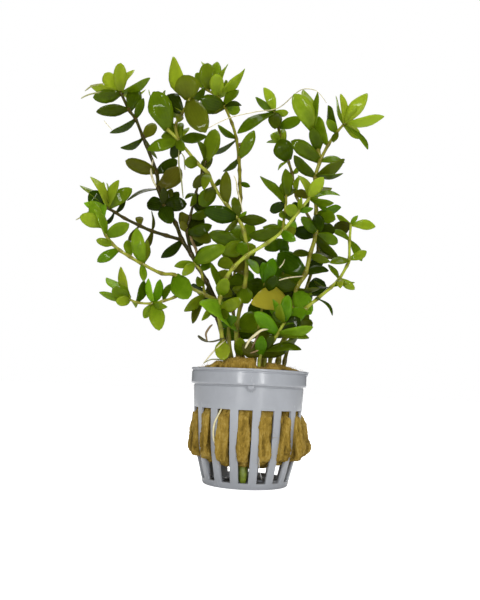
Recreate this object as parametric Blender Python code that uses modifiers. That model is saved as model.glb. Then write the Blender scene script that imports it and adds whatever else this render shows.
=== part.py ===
"""Potted lemon bacopa: a small net pot, its block of rock wool and the leafy shoots that grow from it.

Metres, +Z up.  The origin is the centre of the pot's foot.  The front of the plant faces -Y.
"""
import math
import random

import bmesh
import bpy
from mathutils import Matrix, Vector
from mathutils.bvhtree import BVHTree

MM = 0.001

# Net pot
POT_HEIGHT = 52.5 * MM
LIP_RADIUS = 27.4 * MM
LIP_THICKNESS = 0.9 * MM
BAND_RADIUS = 27.0 * MM
LIP_LEDGE = 0.1 * MM
BAND_BOTTOM = 45.2 * MM
BAND_LEDGE = 0.2 * MM
SHOULDER_RADIUS = 25.9 * MM
SLOT_TOP = 34.5 * MM
SLOT_TOP_RADIUS = 25.2 * MM
SLAT_BELLY_HEIGHT = 17.0 * MM
SLAT_BELLY_RADIUS = 23.6 * MM
SLOT_BOTTOM = 2.6 * MM
FOOT_RADIUS = 19.9 * MM
FOOT_BEVEL = 0.3 * MM
FLOOR_THICKNESS = 1.5 * MM
POT_WALL = 1.2 * MM
SLAT_COUNT = 16
SLAT_WIDTH = 3.7 * MM
FIRST_SLAT = math.radians(-82.0)
POT_STEPS = 32
POT_SHARP_ANGLE = math.radians(30.0)
SLOT_CUTTER_RADII = (16.9 * MM, 30.0 * MM)
FLOOR_HOLE_COUNT = 8
FLOOR_HOLE_ROWS = ((4.5 * MM, 8.5 * MM), (11.0 * MM, 15.8 * MM))
FLOOR_SPOKE = 2.6 * MM
FLOOR_CUTTER_HEIGHTS = (-1.0 * MM, 5.0 * MM)

# Rock wool: (height, radius at the front and back, radius at the left, radius at the right)
WOOL_LEVELS = (
    (1.9 * MM, 12.5 * MM, 12.0 * MM, 12.5 * MM),
    (9.5 * MM, 22.4 * MM, 24.0 * MM, 24.8 * MM),
    (19.0 * MM, 25.2 * MM, 27.2 * MM, 29.4 * MM),
    (31.5 * MM, 25.4 * MM, 25.8 * MM, 26.2 * MM),
    (34.0 * MM, 23.4 * MM, 23.4 * MM, 23.4 * MM),
    (54.5 * MM, 24.0 * MM, 23.8 * MM, 24.2 * MM),
)
WOOL_TOP = 57.4 * MM
WOOL_TOP_RADIUS = 21.5 * MM
WOOL_SIDES = 24
WOOL_LUMP = 0.5 * MM
WOOL_SWELL_HEIGHTS = (10.0 * MM, 33.0 * MM)
WOOL_TOP_INSET = 2.6 * MM

# Fits between neighbours
GAP = 0.35 * MM
POCKET_EASE = 0.4
POCKET_SIDES = 8
POCKET_ROUNDING = 1.08
POCKET_RISE = 3.0 * MM
SLAT_ROOM_HEIGHTS = (1.0 * MM, 36.0 * MM)
SLAT_ROOM_REACH = 34.0 * MM
SLAT_ROOM_EASE = 0.4 * MM
LEAF_CLEARANCE = 0.45 * MM
ROOT_DEPTH = 54.0 * MM
TOP_SETBACK = 0.9 * MM
LEAF_STAGGER = 0.23 * MM
LEAST_FORK_ANGLE = 0.3
MERGE_DISTANCE = 0.0000001
WOOL_TRIANGLES = 760
LEAF_TRIANGLES = 19
STEM_POINT_TRIANGLES = 10

# The eye that the plan below is drawn from.  A plan point is a width and a height on the plane
# y = 0, and its depth moves it along the line from the eye.
EYE = Vector((0.0, -310.0 * MM, 46.0 * MM))

# Stem width from its root to its tip, as shares of its plan radius
STEM_ROOT_SHARE = 1.1
STEM_TAPER = 0.35

# Leaf proportions, shared by every leaf
LEAF_STATIONS = (0.0, 0.64, 1.0)
LEAF_HALF_WIDTHS = (0.14, 0.5, 0.24)
LEAF_BARE_SHARE = 0.28
LEAF_THICKNESS = 0.75 * MM
LEAF_TIP_THICKNESS_SHARE = 0.55
LEAF_FOOT_SHARE = 0.8
LEAF_BOW = 0.07
NATURAL_LENGTH = 1.75
LONGEST_LEAF = 21.0 * MM
NATURAL_WIDTH = 0.4
DEPTH_TRIES = (0.0, 1.5, -1.5, 3.0, -3.0, 4.5, -4.5, 6.5, -6.5, 9.0, -9.0, 12.0, -12.0, 15.0, -15.0)

# Colours and how matt they are
POT_GREY = (0.36, 0.37, 0.38)
POT_ROUGHNESS = 0.35
WOOL_BROWN = (0.30, 0.19, 0.06)
WOOL_ROUGHNESS = 0.9
BRIGHT_GREEN = (0.30, 0.36, 0.05)
DARK_GREEN = (0.07, 0.08, 0.02)
LEAF_ROUGHNESS = 0.4

# The planting plan, in millimetres.
# stem: (width, height, depth) from the root or the fork to the top.
# leaves: (stem point, tip width, tip height, blade width, tone, reach in depth or None).
# A tone runs from 0, a bright young leaf, to 1, a dark old one.
PLAN = {
    "tall_left_shoot": {
        "from": None, "radius": 1.3,
        "stem": [(-10, 57, 6), (-13, 66, 6), (-16, 76, 7), (-18.5, 86, 8), (-22.5, 94, 9), (-27, 101, 10),
                 (-30.5, 107, 11), (-35.4, 113.9, 12), (-39, 122, 14), (-44.8, 130.5, 16),
                 (-48.5, 139.2, 18), (-49.9, 147.4, 20), (-57.7, 165.3, 22), (-62, 174.6, 24),
                 (-65.6, 179.2, 25), (-70.5, 188.5, 26)],
        "leaves": [(7, -45.1, 104.6, 4.8, .85, None), (9, -53.8, 131.8, 7.2, .95, 3),
                   (9, -38.7, 137.4, 5.2, .85, 6), (9, -34, 132, 7.5, .9, -5),
                   (9, -41, 121.5, 7.8, .75, -6), (10, -63.5, 132.3, 1.4, .9, 2),
                   (10, -38.8, 150.5, 9, .95, 5), (11, -40.1, 153.9, 6.2, .85, 4),
                   (11, -65.6, 152.8, 7.1, .75, -3), (12, -49.6, 154.8, 2.6, .6, 5),
                   (12, -68.5, 159.2, 3.3, .6, -4), (12, -52.1, 172.3, 5.7, .6, 5),
                   (13, -74.7, 167.5, 3.5, .7, 3), (13, -58.7, 185.7, 4.3, .6, -4),
                   (14, -82.1, 178, 6.2, .7, -3), (14, -62.8, 190.8, 7.5, .65, 4),
                   (15, -84.2, 185, 6.7, .6, -2), (15, -71.3, 203.6, 7.1, .15, -3),
                   (15, -64.2, 200.4, 3.2, .1, 5), (15, -79.3, 198.2, 7.1, .1, 4),
                   (15, -86.1, 191.1, 5.7, .2, 4), (15, -56.4, 197.3, 4.5, .35, 2),
                   (3, -28.9, 92.4, 3.8, .85, 9), (15, -57.7, 189.7, 1.9, .15, 3),
                   (2, -21.7, 93.2, 4.3, .8, 5), (9, -41.7, 139.3, 4.3, .9, 4),
                   (9, -45.7, 139.9, 4.3, .9, -4), (15, -77.5, 183.4, 4.3, .5, 4)],
    },
    "left_side_branch": {
        "from": ("tall_left_shoot", 7), "radius": 1,
        "stem": [(-35.4, 113.9, 12), (-43.2, 115.8, 8), (-50.5, 117.8, 4), (-56.3, 120.1, 0),
                 (-64.3, 123.7, -5), (-69, 126.4, -8), (-73.5, 128.7, -11)],
        "leaves": [(2, -55.6, 107.6, 3.3, .9, -3), (2, -51.7, 127.7, 1.4, .9, 3),
                   (3, -56.7, 125, 3.8, .85, 4), (3, -61.8, 109.4, 1.9, .95, -3),
                   (5, -74, 120, 1.9, .85, -3), (5, -64.8, 133.3, 2.4, .9, 3), (6, -82.5, 136, 9, .8, -3),
                   (6, -61.5, 138.7, 6.7, .35, 3), (6, -68.2, 142.8, 4.3, .2, -3),
                   (6, -81.7, 144.3, 4.3, .1, -4), (6, -76.5, 141.5, 3.5, .1, 4),
                   (6, -87.5, 138.7, 3, .3, 2), (6, -84.7, 130.5, 4.8, .05, -5),
                   (6, -74, 141.1, 3.3, .2, 4)],
    },
    "dark_inner_branch": {
        "from": ("tall_left_shoot", 6), "radius": 0.85,
        "stem": [(-30.5, 107, 11), (-33.2, 118, 6), (-32, 125.5, 5), (-30, 137, 4), (-27.5, 147.5, 2),
                 (-25.8, 154.5, 0)],
        "leaves": [(5, -22, 170.6, 8.1, .35, 3), (5, -30.2, 165.1, 3.3, .6, -3),
                   (4, -22.8, 156.3, 4.8, .75, 5), (3, -35.1, 134.5, 1.9, .6, -3),
                   (3, -31.9, 131, 2.9, .45, -5), (1, -26, 126, 8, .85, 4), (2, -38, 124, 7, .85, 5),
                   (1, -25, 112, 8, .85, 5), (3, -24, 128, 6, .85, 5), (1, -21.2, 113.5, 6.7, .6, 4),
                   (1, -21.2, 121.9, 5.7, .55, -4), (2, -23, 128.9, 4.8, .5, 4),
                   (1, -36.4, 123.3, 3.8, .7, 4), (3, -27.3, 127.7, 4.3, .6, -4)],
    },
    "middle_shoot": {
        "from": None, "radius": 1.15,
        "stem": [(-5.5, 58.5, -1), (-6.5, 64, -2), (-7, 72, -3), (-5.5, 83.5, -4), (-4, 92, -6),
                 (-3.5, 98.5, -8), (-3.5, 106.5, -8), (-4, 112, -8), (-5.5, 119.5, -9), (-8.5, 125.5, -9),
                 (-14.5, 132.5, -10), (-21, 141, -11), (-24.5, 148, -12), (-30, 153, -13),
                 (-40, 164.5, -15), (-46, 170, -17)],
        "leaves": [(15, -54.1, 189.1, 12.4, .45, -4), (14, -44.5, 170.5, 12.5, .45, 6),
                   (14, -25.9, 167.1, 5.2, .6, 2), (14, -36.9, 158.9, 4.8, .4, -4),
                   (14, -35, 170.9, 2.9, .15, 4), (14, -55.3, 159.3, 6, .35, -2),
                   (13, -36.6, 153.2, 6.2, .45, -5), (12, -25.9, 139.1, 4.8, .35, -6),
                   (12, -31.2, 140.2, 5.2, .85, 4), (11, -17.8, 144.8, 2.4, .6, 4),
                   (11, -28, 132, 8, .4, 3), (11, -25.2, 133.3, 5.7, .6, -6),
                   (10, -15.3, 149.5, 6.2, .6, -5), (9, -11.1, 136.4, 4.8, .55, 6),
                   (9, -25.5, 129.3, 8.6, .7, -5), (9, 5.6, 125.5, 5.2, .6, -4),
                   (9, -14.5, 119, 2.9, .5, -4), (9, -4.6, 129.6, 2.4, .2, -4),
                   (7, -22.4, 117.9, 8.1, .45, -4), (7, -15.5, 108, 8, .3, -5),
                   (6, 2.3, 98.1, 4.3, .15, -7), (4, -2, 84, 8, .3, -6), (4, -9, 86.5, 8, .3, 6),
                   (4, -11.5, 94, 9, .55, 3), (4, 2.5, 95, 7, .4, 3), (2, -23.6, 83.4, 9, .2, -6),
                   (2, 5, 76.9, 10.5, .3, 7), (0, -5, 67.5, 6.2, .25, -7), (5, -13, 110, 11, .85, 9),
                   (6, 7, 101.3, 7.6, .85, 10), (3, -14, 92, 9, .85, 10), (14, -42.6, 155.1, 5.7, .85, 4)],
    },
    "middle_top_branch": {
        "from": ("middle_shoot", 14), "radius": 0.8,
        "stem": [(-40, 164.5, -15), (-41.8, 172, -17), (-39, 178, -18), (-35.4, 186.6, -20)],
        "leaves": [(3, -39.5, 198.6, 12.9, .62, -5), (3, -27, 169.6, 11.4, .68, -6),
                   (3, -45.1, 208, 8.1, .12, 3), (2, -46.5, 187.8, 8.6, .85, 4),
                   (2, -49.6, 189.2, 3.8, .4, 7), (2, -40.7, 174.3, 4.3, .6, -6),
                   (1, -57.2, 189.2, 1.4, .4, 3), (3, -28, 192, 4, .6, 8)],
    },
    "centre_tall_branch": {
        "from": ("middle_shoot", 9), "radius": 1,
        "stem": [(-8.5, 125.5, -9), (-7.9, 136, -4), (-8.4, 143.1, 0), (-8.9, 150, 3), (-9.5, 156.3, 6),
                 (-11.2, 166.1, 10), (-13.8, 174.3, 13), (-18, 183, 16), (-21.5, 187.5, 18),
                 (-27.5, 191.5, 20)],
        "leaves": [(5, -24.9, 158.1, 2.4, .55, -3), (4, -2.6, 170.8, 6.2, .4, -3),
                   (4, -17, 148.9, 2.9, .55, 5), (2, -3, 142, 2.6, .5, -3), (5, -20.7, 173, 3.3, .45, -4),
                   (7, -30.3, 186.2, 9.5, .6, -5), (7, -9.7, 184.1, 2.6, .85, -6),
                   (8, -7.4, 202.4, 5.2, .15, 3), (7, -11.8, 192.2, 5, .5, 6),
                   (7, -10, 181.2, 6.2, .25, 4), (9, -27.3, 205.5, 9, .4, -4), (9, -29.9, 207, 5.2, .2, 3),
                   (9, -22.3, 206.7, 6.7, .3, 5), (8, -22.7, 200, 7.4, .2, -6),
                   (8, -16.9, 205.3, 2.9, .15, -2), (8, -17.7, 196.2, 2.4, .35, 7),
                   (9, -33.5, 199.4, 4.8, .3, 5), (7, -27, 179, 3.8, .6, -4)],
    },
    "bright_front_shoot": {
        "from": None, "radius": 1.1,
        "stem": [(-11.5, 57.5, -12), (-13.5, 66, -14), (-14.5, 72, -16), (-16, 80, -18),
                 (-15.5, 86.5, -19), (-13, 96, -20), (-9.5, 101.5, -21), (-3.5, 107.5, -22), (6, 114, -23),
                 (13.5, 120.5, -24), (21, 130.5, -26), (26.5, 138, -28)],
        "leaves": [(11, 32.5, 148, 6.2, .05, -6), (11, 20.4, 149.1, 3.6, .15, 4),
                   (11, 40.6, 140.5, 2.6, .2, -3), (11, 38, 135.6, 3.8, .3, -3),
                   (11, 36.8, 142.6, 3.8, .6, 4), (11, 19.3, 139.9, 4.3, .7, 7),
                   (10, 14.4, 132.6, 6.2, .12, -3), (10, 27.8, 132.1, 3.1, .2, -4),
                   (10, 22, 137.5, 2.4, .2, -3), (10, 26, 137.5, 2.9, .5, 7),
                   (9, 19.8, 115.8, 4.8, .2, -5), (9, 19.4, 121.1, 4.3, .35, 6),
                   (9, -3.1, 116.7, 6.7, .5, 4), (9, 3.8, 121.7, 3.8, .4, 6), (4, -12.6, 96, 6.7, .1, -6),
                   (4, -21.5, 102.5, 3.2, .35, 3), (3, -5, 86.1, 6.2, .25, -4),
                   (3, -11, 76.5, 4.8, .5, -4), (2, -7, 77.5, 5, .45, -3), (4, -10.5, 91, 6, .5, 5),
                   (1, -12.3, 56.8, 7.6, .08, -7), (7, -8, 114, 6, .3, 5), (6, -18, 104, 6, .3, 6)],
    },
    "front_side_twig": {
        "from": ("bright_front_shoot", 9), "radius": 0.75,
        "stem": [(13.5, 121, -24), (14, 129, -21), (14.5, 134.5, -20), (14.5, 138.5, -19)],
        "leaves": [(3, 13.7, 145.7, 6.7, .4, 3), (2, .8, 146.8, 4.3, .45, -2),
                   (2, 6.9, 130.1, 5.2, .75, 4), (3, 9.9, 140.8, 1.9, .6, 5),
                   (1, 11.8, 127.8, 4.8, .45, -6), (1, 19.5, 129, 7, .45, 6), (3, 18.7, 141.6, 2.9, .5, 5),
                   (3, 13.7, 151.9, 5.7, .45, 6)],
    },
    "thick_right_shoot": {
        "from": None, "radius": 1.35,
        "stem": [(13.5, 57, 5), (15, 65, 5), (18.5, 74.5, 5), (20, 82.5, 5), (21, 92, 4), (25, 99.5, 3),
                 (27, 109, 2), (29.5, 119, 1), (29.5, 129.5, 0), (29, 137, -1), (28.5, 148, -2),
                 (30.5, 156.5, -3), (29.5, 161.5, -4), (26.5, 173, -6)],
        "leaves": [(13, 16.6, 190.6, 9.5, .2, -4), (13, 21.3, 192.9, 6, .3, 6),
                   (13, 28.8, 191.9, 4.3, .35, 2), (12, 25.9, 173.2, 6.2, .6, -6),
                   (12, 27.6, 173.8, 8.1, .55, -3), (11, 15.9, 166.1, 7.6, .55, -4),
                   (11, 42.9, 156.6, 3.6, .45, 4), (10, 42.9, 157.6, 5.7, .6, 4),
                   (10, 17.7, 158.9, 5.7, .6, -3), (10, 42, 150.2, 2.9, .5, -8),
                   (9, 34.2, 131.1, 3.8, .45, -4), (8, 38.9, 127.1, 6.7, .3, -6),
                   (8, 32, 120, 5.7, .7, -8), (8, 40.7, 133.9, 4.3, .4, 6), (7, 22.1, 127.9, 5.2, .35, -6),
                   (7, 19, 120, 6.7, .8, 5), (7, 38.5, 123, 6.7, .8, 7), (7, 40.3, 108.8, 4.8, .6, -5),
                   (7, 40.4, 115.4, 5.7, .35, 3), (6, 18.1, 108.6, 3.8, .65, -5), (6, 41, 107, 3, .75, 5),
                   (6, 36.8, 105.9, 4.3, .4, -4), (5, 36.4, 102, 4.3, .7, 5), (5, 12, 108.9, 10.5, .5, 5),
                   (5, 17.5, 95, 4.8, .35, 8), (4, 32.5, 94, 2.4, .65, -3), (4, 28.6, 87.5, 6.7, .3, 4),
                   (4, 28.5, 80, 9, .2, -5), (4, 25.5, 84, 8, .4, 6), (4, 10, 95.5, 8.5, .6, -3),
                   (4, 12.5, 91, 9, .85, 5), (3, 11, 86.5, 9, .8, 7), (2, 29.5, 76, 7, .6, 3),
                   (3, -0.6, 84.4, 11.4, .2, -7), (5, 33, 108, 6.7, .8, 11), (3, 29, 90, 2.4, .8, 11)],
    },
    "right_top_branch": {
        "from": ("thick_right_shoot", 11), "radius": 0.9,
        "stem": [(30.5, 156.5, -3), (34.5, 165, -5), (38.5, 171.5, -8), (42.5, 176.5, -12)],
        "leaves": [(1, 29.9, 179.3, 5.2, .35, 5), (2, 33.5, 177.6, 4.5, .4, -4),
                   (2, 34.8, 185, 4.3, .6, 5), (2, 37, 165.6, 3.3, .65, -4), (3, 54.5, 163.9, 1.9, .4, -3),
                   (3, 40.3, 191.8, 3.3, .2, -3), (3, 53.3, 192, 7.1, .05, -3),
                   (3, 61.7, 180.8, 5.2, .15, 2), (3, 50, 168.7, 4.8, .25, 4),
                   (3, 48.2, 185.5, 2.9, .1, -4), (3, 38.4, 190.6, 1.9, .3, 2)],
    },
    "rear_right_shoot": {
        "from": None, "radius": 1,
        "stem": [(16.5, 57, 13), (20, 72, 15), (25, 90, 16), (29, 104, 17), (31, 112.5, 17), (29, 119, 17),
                 (26.5, 126.5, 17), (23, 132.5, 17), (19.5, 138, 17), (17, 149.5, 18), (15, 155.5, 18),
                 (12.5, 163.5, 19), (9.5, 172.5, 20), (7, 181.5, 21)],
        "leaves": [(9, 13.1, 147, 3.8, .45, 5), (9, 20.6, 152.9, 2.4, .25, 4),
                   (8, 20.5, 148.5, 2.4, .3, -3), (10, 9.8, 151.5, 1.4, .2, -3),
                   (10, 10, 166.4, 10, .55, -5), (11, 3.8, 164.8, 1.4, .3, -4),
                   (11, 7.4, 169.9, 2.9, .25, 4), (11, 8.8, 172, 8.1, .25, 5),
                   (11, 12.8, 170.6, 2.4, .25, -4), (13, 1.5, 193.7, 5, .12, -3),
                   (13, -3.1, 187.8, 3.8, .35, 3), (13, 14.2, 180.8, 3.8, .3, -2),
                   (13, 7.8, 171.7, 6.9, .65, -6), (13, -10.7, 168.7, 4.8, .5, -3),
                   (12, 20.5, 177.7, 5.7, .45, 4), (7, 17, 133, 4.8, .8, 8), (5, 36, 128, 5.7, .8, 9),
                   (3, 36, 112, 6.7, .8, 10), (2, 16, 86, 11, .8, 9), (2, 34, 96, 9, .8, 9),
                   (1, 26, 82, 9, .8, 9)],
    },
    "far_right_shoot": {
        "from": None, "radius": 1,
        "stem": [(9.8, 58.8, -4), (12.8, 62.5, -5), (17.5, 69.5, -6), (22, 77, -6), (25.5, 82.5, -6),
                 (31.5, 88, -4), (37.5, 93.5, -1), (41.5, 98, 3), (45, 104.5, 7), (46, 107.5, 9),
                 (46, 116.5, 13), (46.5, 125.5, 17)],
        "leaves": [(5, 39, 80.5, 1.4, .6, -4), (5, 31.5, 88.6, 2.4, .4, -3), (6, 29.3, 96.3, 1.4, .7, -5),
                   (7, 42.1, 93.7, 3.8, .2, -6), (6, 48.6, 96.1, 1.9, .25, 5),
                   (7, 36.1, 104.7, 2.4, .25, 4), (7, 49, 93, 4, .15, 4), (9, 36.8, 105.9, 3.8, .4, -4),
                   (9, 54.5, 112.1, 4.3, .18, 3), (10, 37.4, 121.5, 2.9, .3, 3),
                   (11, 58.7, 124.6, 4.8, .1, 3), (11, 49.8, 129.5, 2.4, .2, -4),
                   (11, 39.8, 129.6, 2.9, .2, 3), (11, 38.3, 121.8, 7.1, .85, 6), (10, 52, 107, 4, .3, 6)],
    },
    "low_front_shoot": {
        "from": None, "radius": 1,
        "stem": [(7, 57, -12), (8, 61, -13), (11, 67, -15), (13, 70.5, -16), (16, 76, -17)],
        "leaves": [(3, 1.1, 80.1, 7.1, .12, -6), (3, 30, 75.5, 7.6, .15, -5), (3, 28, 69.5, 4.8, .4, -3),
                   (4, 17.1, 89, 6.2, .25, -3), (4, 9.4, 86.7, 5.2, .2, 4), (4, 26, 81.5, 7, .3, 4),
                   (4, 13.4, 84.5, 4.3, .2, -8), (3, 23, 78, 8, .85, 7), (4, 10, 80.5, 5, .5, -5),
                   (2, 2, 70, 8, .6, 4)],
    },
    "basal_sprout": {
        "from": None, "radius": 0.9,
        "stem": [(4.5, 57, -18), (5, 59.5, -18.5), (6, 62.5, -19)],
        "leaves": [(1, 5.3, 68.7, 5.7, .25, -4), (1, 23.5, 69, 5.7, .6, 3), (2, 24, 64.5, 3.8, .5, -3),
                   (1, -4, 64, 8, .9, -3), (2, 11, 69, 4.8, .7, -5)],
    },
    "small_centre_shoot": {
        "from": None, "radius": 0.8,
        "stem": [(2.5, 58, -6), (3.5, 71.5, -9), (5, 83.5, -12), (6, 91, -13), (5.5, 94.5, -13)],
        "leaves": [(4, 9.2, 106.8, 6.2, .3, -3), (4, 4.4, 104.6, 5.2, .25, 3), (3, 12, 98, 6, .7, -5)],
    },
    "left_reaching_shoot": {
        "from": None, "radius": 1.05,
        "stem": [(-9, 58, -6), (-10.5, 67, -7), (-11, 75.5, -8), (-14.5, 81.5, -9), (-17.5, 85, -10),
                 (-23, 87.5, -12), (-31.5, 91.4, -14), (-38, 96.5, -15), (-44.4, 97, -16),
                 (-54.2, 101.3, -18), (-60.2, 104.5, -19), (-65.6, 107.6, -20), (-69.4, 110.7, -21),
                 (-72.6, 114.7, -22), (-75.5, 120.1, -22)],
        "leaves": [(9, -58, 118.9, 7, .25, -3), (9, -52.5, 113.2, 3.3, .3, 4), (9, -53, 92.5, 3.6, .3, -3),
                   (10, -62.2, 112.3, 4.8, .3, 3), (11, -76.1, 101.3, 5.2, .3, -3),
                   (12, -77.2, 112.2, 4.3, .3, -5), (13, -61.8, 120.8, 6.7, .25, -3),
                   (13, -79, 128, 4, .25, 5), (14, -86.1, 123.8, 7, .15, -3), (14, -81, 131.5, 6, .2, 3),
                   (14, -74, 130, 4, .2, -3), (7, -30.9, 85, 10.5, .2, -5), (5, -32.6, 79, 5, .35, -5),
                   (5, -27.8, 73.2, 4, .7, 3), (4, -23.6, 73.5, 4, .3, -4), (5, -28.5, 81, 5, .7, 5)],
    },
    "left_reaching_twig": {
        "from": ("left_reaching_shoot", 5), "radius": 0.7,
        "stem": [(-23, 87.5, -12), (-24.5, 95, -12), (-25.4, 99, -13), (-29.5, 103.3, -14)],
        "leaves": [(3, -38.6, 100.9, 3.8, .3, -2), (3, -34, 96.6, 4.8, .15, -5), (3, -22, 112, 4, .65, 3),
                   (2, -21, 104, 4.5, .35, 3), (3, -14, 111.5, 8, .25, -4), (1, -27, 92, 5.5, .4, -6)],
    },
    "low_left_branch": {
        "from": ("left_reaching_shoot", 6), "radius": 0.75,
        "stem": [(-31.5, 91.4, -14), (-37, 86, -17), (-42.6, 83.7, -19), (-48, 82.2, -21),
                 (-55, 82.3, -23), (-60, 84, -25)],
        "leaves": [(5, -65.3, 99.3, 3.8, .12, 2), (5, -71.4, 92.3, 4, .2, 4),
                   (5, -74.1, 86.4, 3.8, .25, -2), (5, -68, 89, 8, .3, -4), (5, -66.1, 82.1, 5.2, .15, -5),
                   (3, -44, 69.3, 7.6, .15, -5), (3, -51.6, 75, 4.3, .3, 3), (3, -40.8, 80.7, 3.8, .2, -5),
                   (4, -56.8, 81.1, 3.3, .2, 5), (4, -52.5, 93.2, 4.3, .55, 3),
                   (3, -50.5, 94.3, 3.5, 0, -3), (3, -45, 94, 4.5, .25, 4), (2, -39.5, 92, 3.3, .5, 3)],
    },
    "back_left_shoot": {
        "from": None, "radius": 1,
        "stem": [(-3, 57, 14), (-6, 68, 18), (-9, 80, 22), (-10, 92, 25), (-8, 104, 28), (-6, 114, 30)],
        "leaves": [(1, -13, 72, 9, .6, 9), (1, 4, 74, 9, .6, 6), (2, -14, 88, 9, .5, 10),
                   (3, -17, 99, 9, .5, 3), (3, 0, 98, 9, .5, 9), (4, -14, 112, 9, .4, 8),
                   (4, 0, 112, 8, .4, 6), (5, -9, 123, 8, .3, 6), (5, -2, 124, 7, .3, -3)],
    },
    "back_right_shoot": {
        "from": None, "radius": 1,
        "stem": [(6, 57, 16), (9, 70, 21), (12, 82, 26), (14, 94, 30), (15, 106, 33), (16, 116, 35)],
        "leaves": [(1, 16, 74, 9, .6, 9), (1, 2, 77, 9, .6, 6), (2, 20, 88, 9, .5, 9),
                   (3, 22, 102, 9, .5, 6), (3, 8, 106, 9, .5, 9), (5, 19, 126, 5.7, .3, 6),
                   (5, 11, 126, 4.8, .3, -3), (5, 5.1, 111, 6.2, .5, 4), (4, 14.2, 116.4, 4.8, .5, -3)],
    },
}


# Helpers


def clear_scene():
    for item in list(bpy.data.objects):
        bpy.data.objects.remove(item, do_unlink=True)


def new_collection(name):
    collection = bpy.data.collections.new(name)
    bpy.context.scene.collection.children.link(collection)
    return collection


def new_material(name, colour, roughness):
    material = bpy.data.materials.new(name)
    material.use_nodes = True
    shader = material.node_tree.nodes["Principled BSDF"]
    shader.inputs["Base Color"].default_value = (*colour, 1.0)
    shader.inputs["Roughness"].default_value = roughness
    shader.inputs["Metallic"].default_value = 0.0
    material.diffuse_color = (*colour, 1.0)
    return material


def object_from_bmesh(name, shape, collection):
    mesh = bpy.data.meshes.new(name)
    shape.to_mesh(mesh)
    shape.free()
    item = bpy.data.objects.new(name, mesh)
    collection.objects.link(item)
    return item


def hide_tool(item):
    item.hide_render = True
    item.display_type = "WIRE"


def freeze(item):
    """Give an object the mesh that its modifiers make, and drop the modifiers."""
    evaluated = item.evaluated_get(bpy.context.evaluated_depsgraph_get())
    mesh = bpy.data.meshes.new_from_object(evaluated)
    item.modifiers.clear()
    item.data = mesh
    mesh.name = item.name


def apply_boolean(item, other, operation):
    """Cut item by other, or join the two, and remove other."""
    modifier = item.modifiers.new(operation.title(), "BOOLEAN")
    modifier.operation = operation
    modifier.solver = "EXACT"
    modifier.object = other
    freeze(item)
    bpy.data.objects.remove(other, do_unlink=True)


def tidy_mesh(item, most_triangles=None):
    """Split every face in triangles, and thin the slivers that a cut leaves along its edge."""
    shape = bmesh.new()
    shape.from_mesh(item.data)
    bmesh.ops.remove_doubles(shape, verts=shape.verts, dist=MERGE_DISTANCE)
    bmesh.ops.delete(shape, geom=[edge for edge in shape.edges if not edge.link_faces], context="EDGES")
    bmesh.ops.delete(shape, geom=[vert for vert in shape.verts if not vert.link_faces], context="VERTS")
    bmesh.ops.triangulate(shape, faces=shape.faces)
    count = len(shape.faces)
    shape.to_mesh(item.data)
    shape.free()
    if most_triangles and count > most_triangles:
        thin = item.modifiers.new("Thin", "DECIMATE")
        thin.ratio = most_triangles / count
        thin.use_collapse_triangulate = True
        freeze(item)


def seen_place(width, height, depth):
    """The place of a plan point, moved along the line from the eye to its depth."""
    on_plane = Vector((width * MM, 0.0, height * MM))
    share = (depth * MM - EYE.y) / -EYE.y
    return EYE + (on_plane - EYE) * share


# Net pot


def pot_profile():
    """Half section of the pot: floor, inner wall, lip, outer wall and foot."""
    outer = [
        (LIP_RADIUS, POT_HEIGHT),
        (LIP_RADIUS, POT_HEIGHT - LIP_THICKNESS),
        (BAND_RADIUS, POT_HEIGHT - LIP_THICKNESS - LIP_LEDGE),
        (BAND_RADIUS, BAND_BOTTOM),
        (SHOULDER_RADIUS, BAND_BOTTOM - BAND_LEDGE),
        (SLOT_TOP_RADIUS, SLOT_TOP),
        (SLAT_BELLY_RADIUS, SLAT_BELLY_HEIGHT),
        (FOOT_RADIUS, FLOOR_THICKNESS),
        (FOOT_RADIUS - FOOT_BEVEL, 0.0),
    ]
    inner = [
        (FOOT_RADIUS - POT_WALL, FLOOR_THICKNESS),
        (SLAT_BELLY_RADIUS - POT_WALL, SLAT_BELLY_HEIGHT),
        (SLOT_TOP_RADIUS - POT_WALL, SLOT_TOP),
        (SHOULDER_RADIUS - POT_WALL, POT_HEIGHT),
    ]
    return [(0.0, FLOOR_THICKNESS)] + inner + outer + [(0.0, 0.0)]


def make_pot_shell(collection):
    mesh = bpy.data.meshes.new("net_pot")
    points = [(radius, 0.0, height) for radius, height in pot_profile()]
    mesh.from_pydata(points, [(i, i + 1) for i in range(len(points) - 1)], [])
    pot = bpy.data.objects.new("net_pot", mesh)
    collection.objects.link(pot)
    screw = pot.modifiers.new("Turn", "SCREW")
    screw.steps = POT_STEPS
    screw.render_steps = POT_STEPS
    screw.use_merge_vertices = True
    screw.merge_threshold = 0.00005
    freeze(pot)
    return pot


def wedge(shape, radii, heights, angle, inner_half, outer_half):
    """Add one block that stands on a ring, between two radii, two heights and two widths."""
    made = bmesh.ops.create_cube(shape, size=1.0)["verts"]
    for vert in made:
        outside = vert.co.x > 0.0
        vert.co.x = radii[1] if outside else radii[0]
        vert.co.y = math.copysign(outer_half if outside else inner_half, vert.co.y)
        vert.co.z = heights[1] if vert.co.z > 0.0 else heights[0]
    bmesh.ops.rotate(shape, verts=made, cent=(0, 0, 0), matrix=Matrix.Rotation(angle, 3, "Z"))


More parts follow.
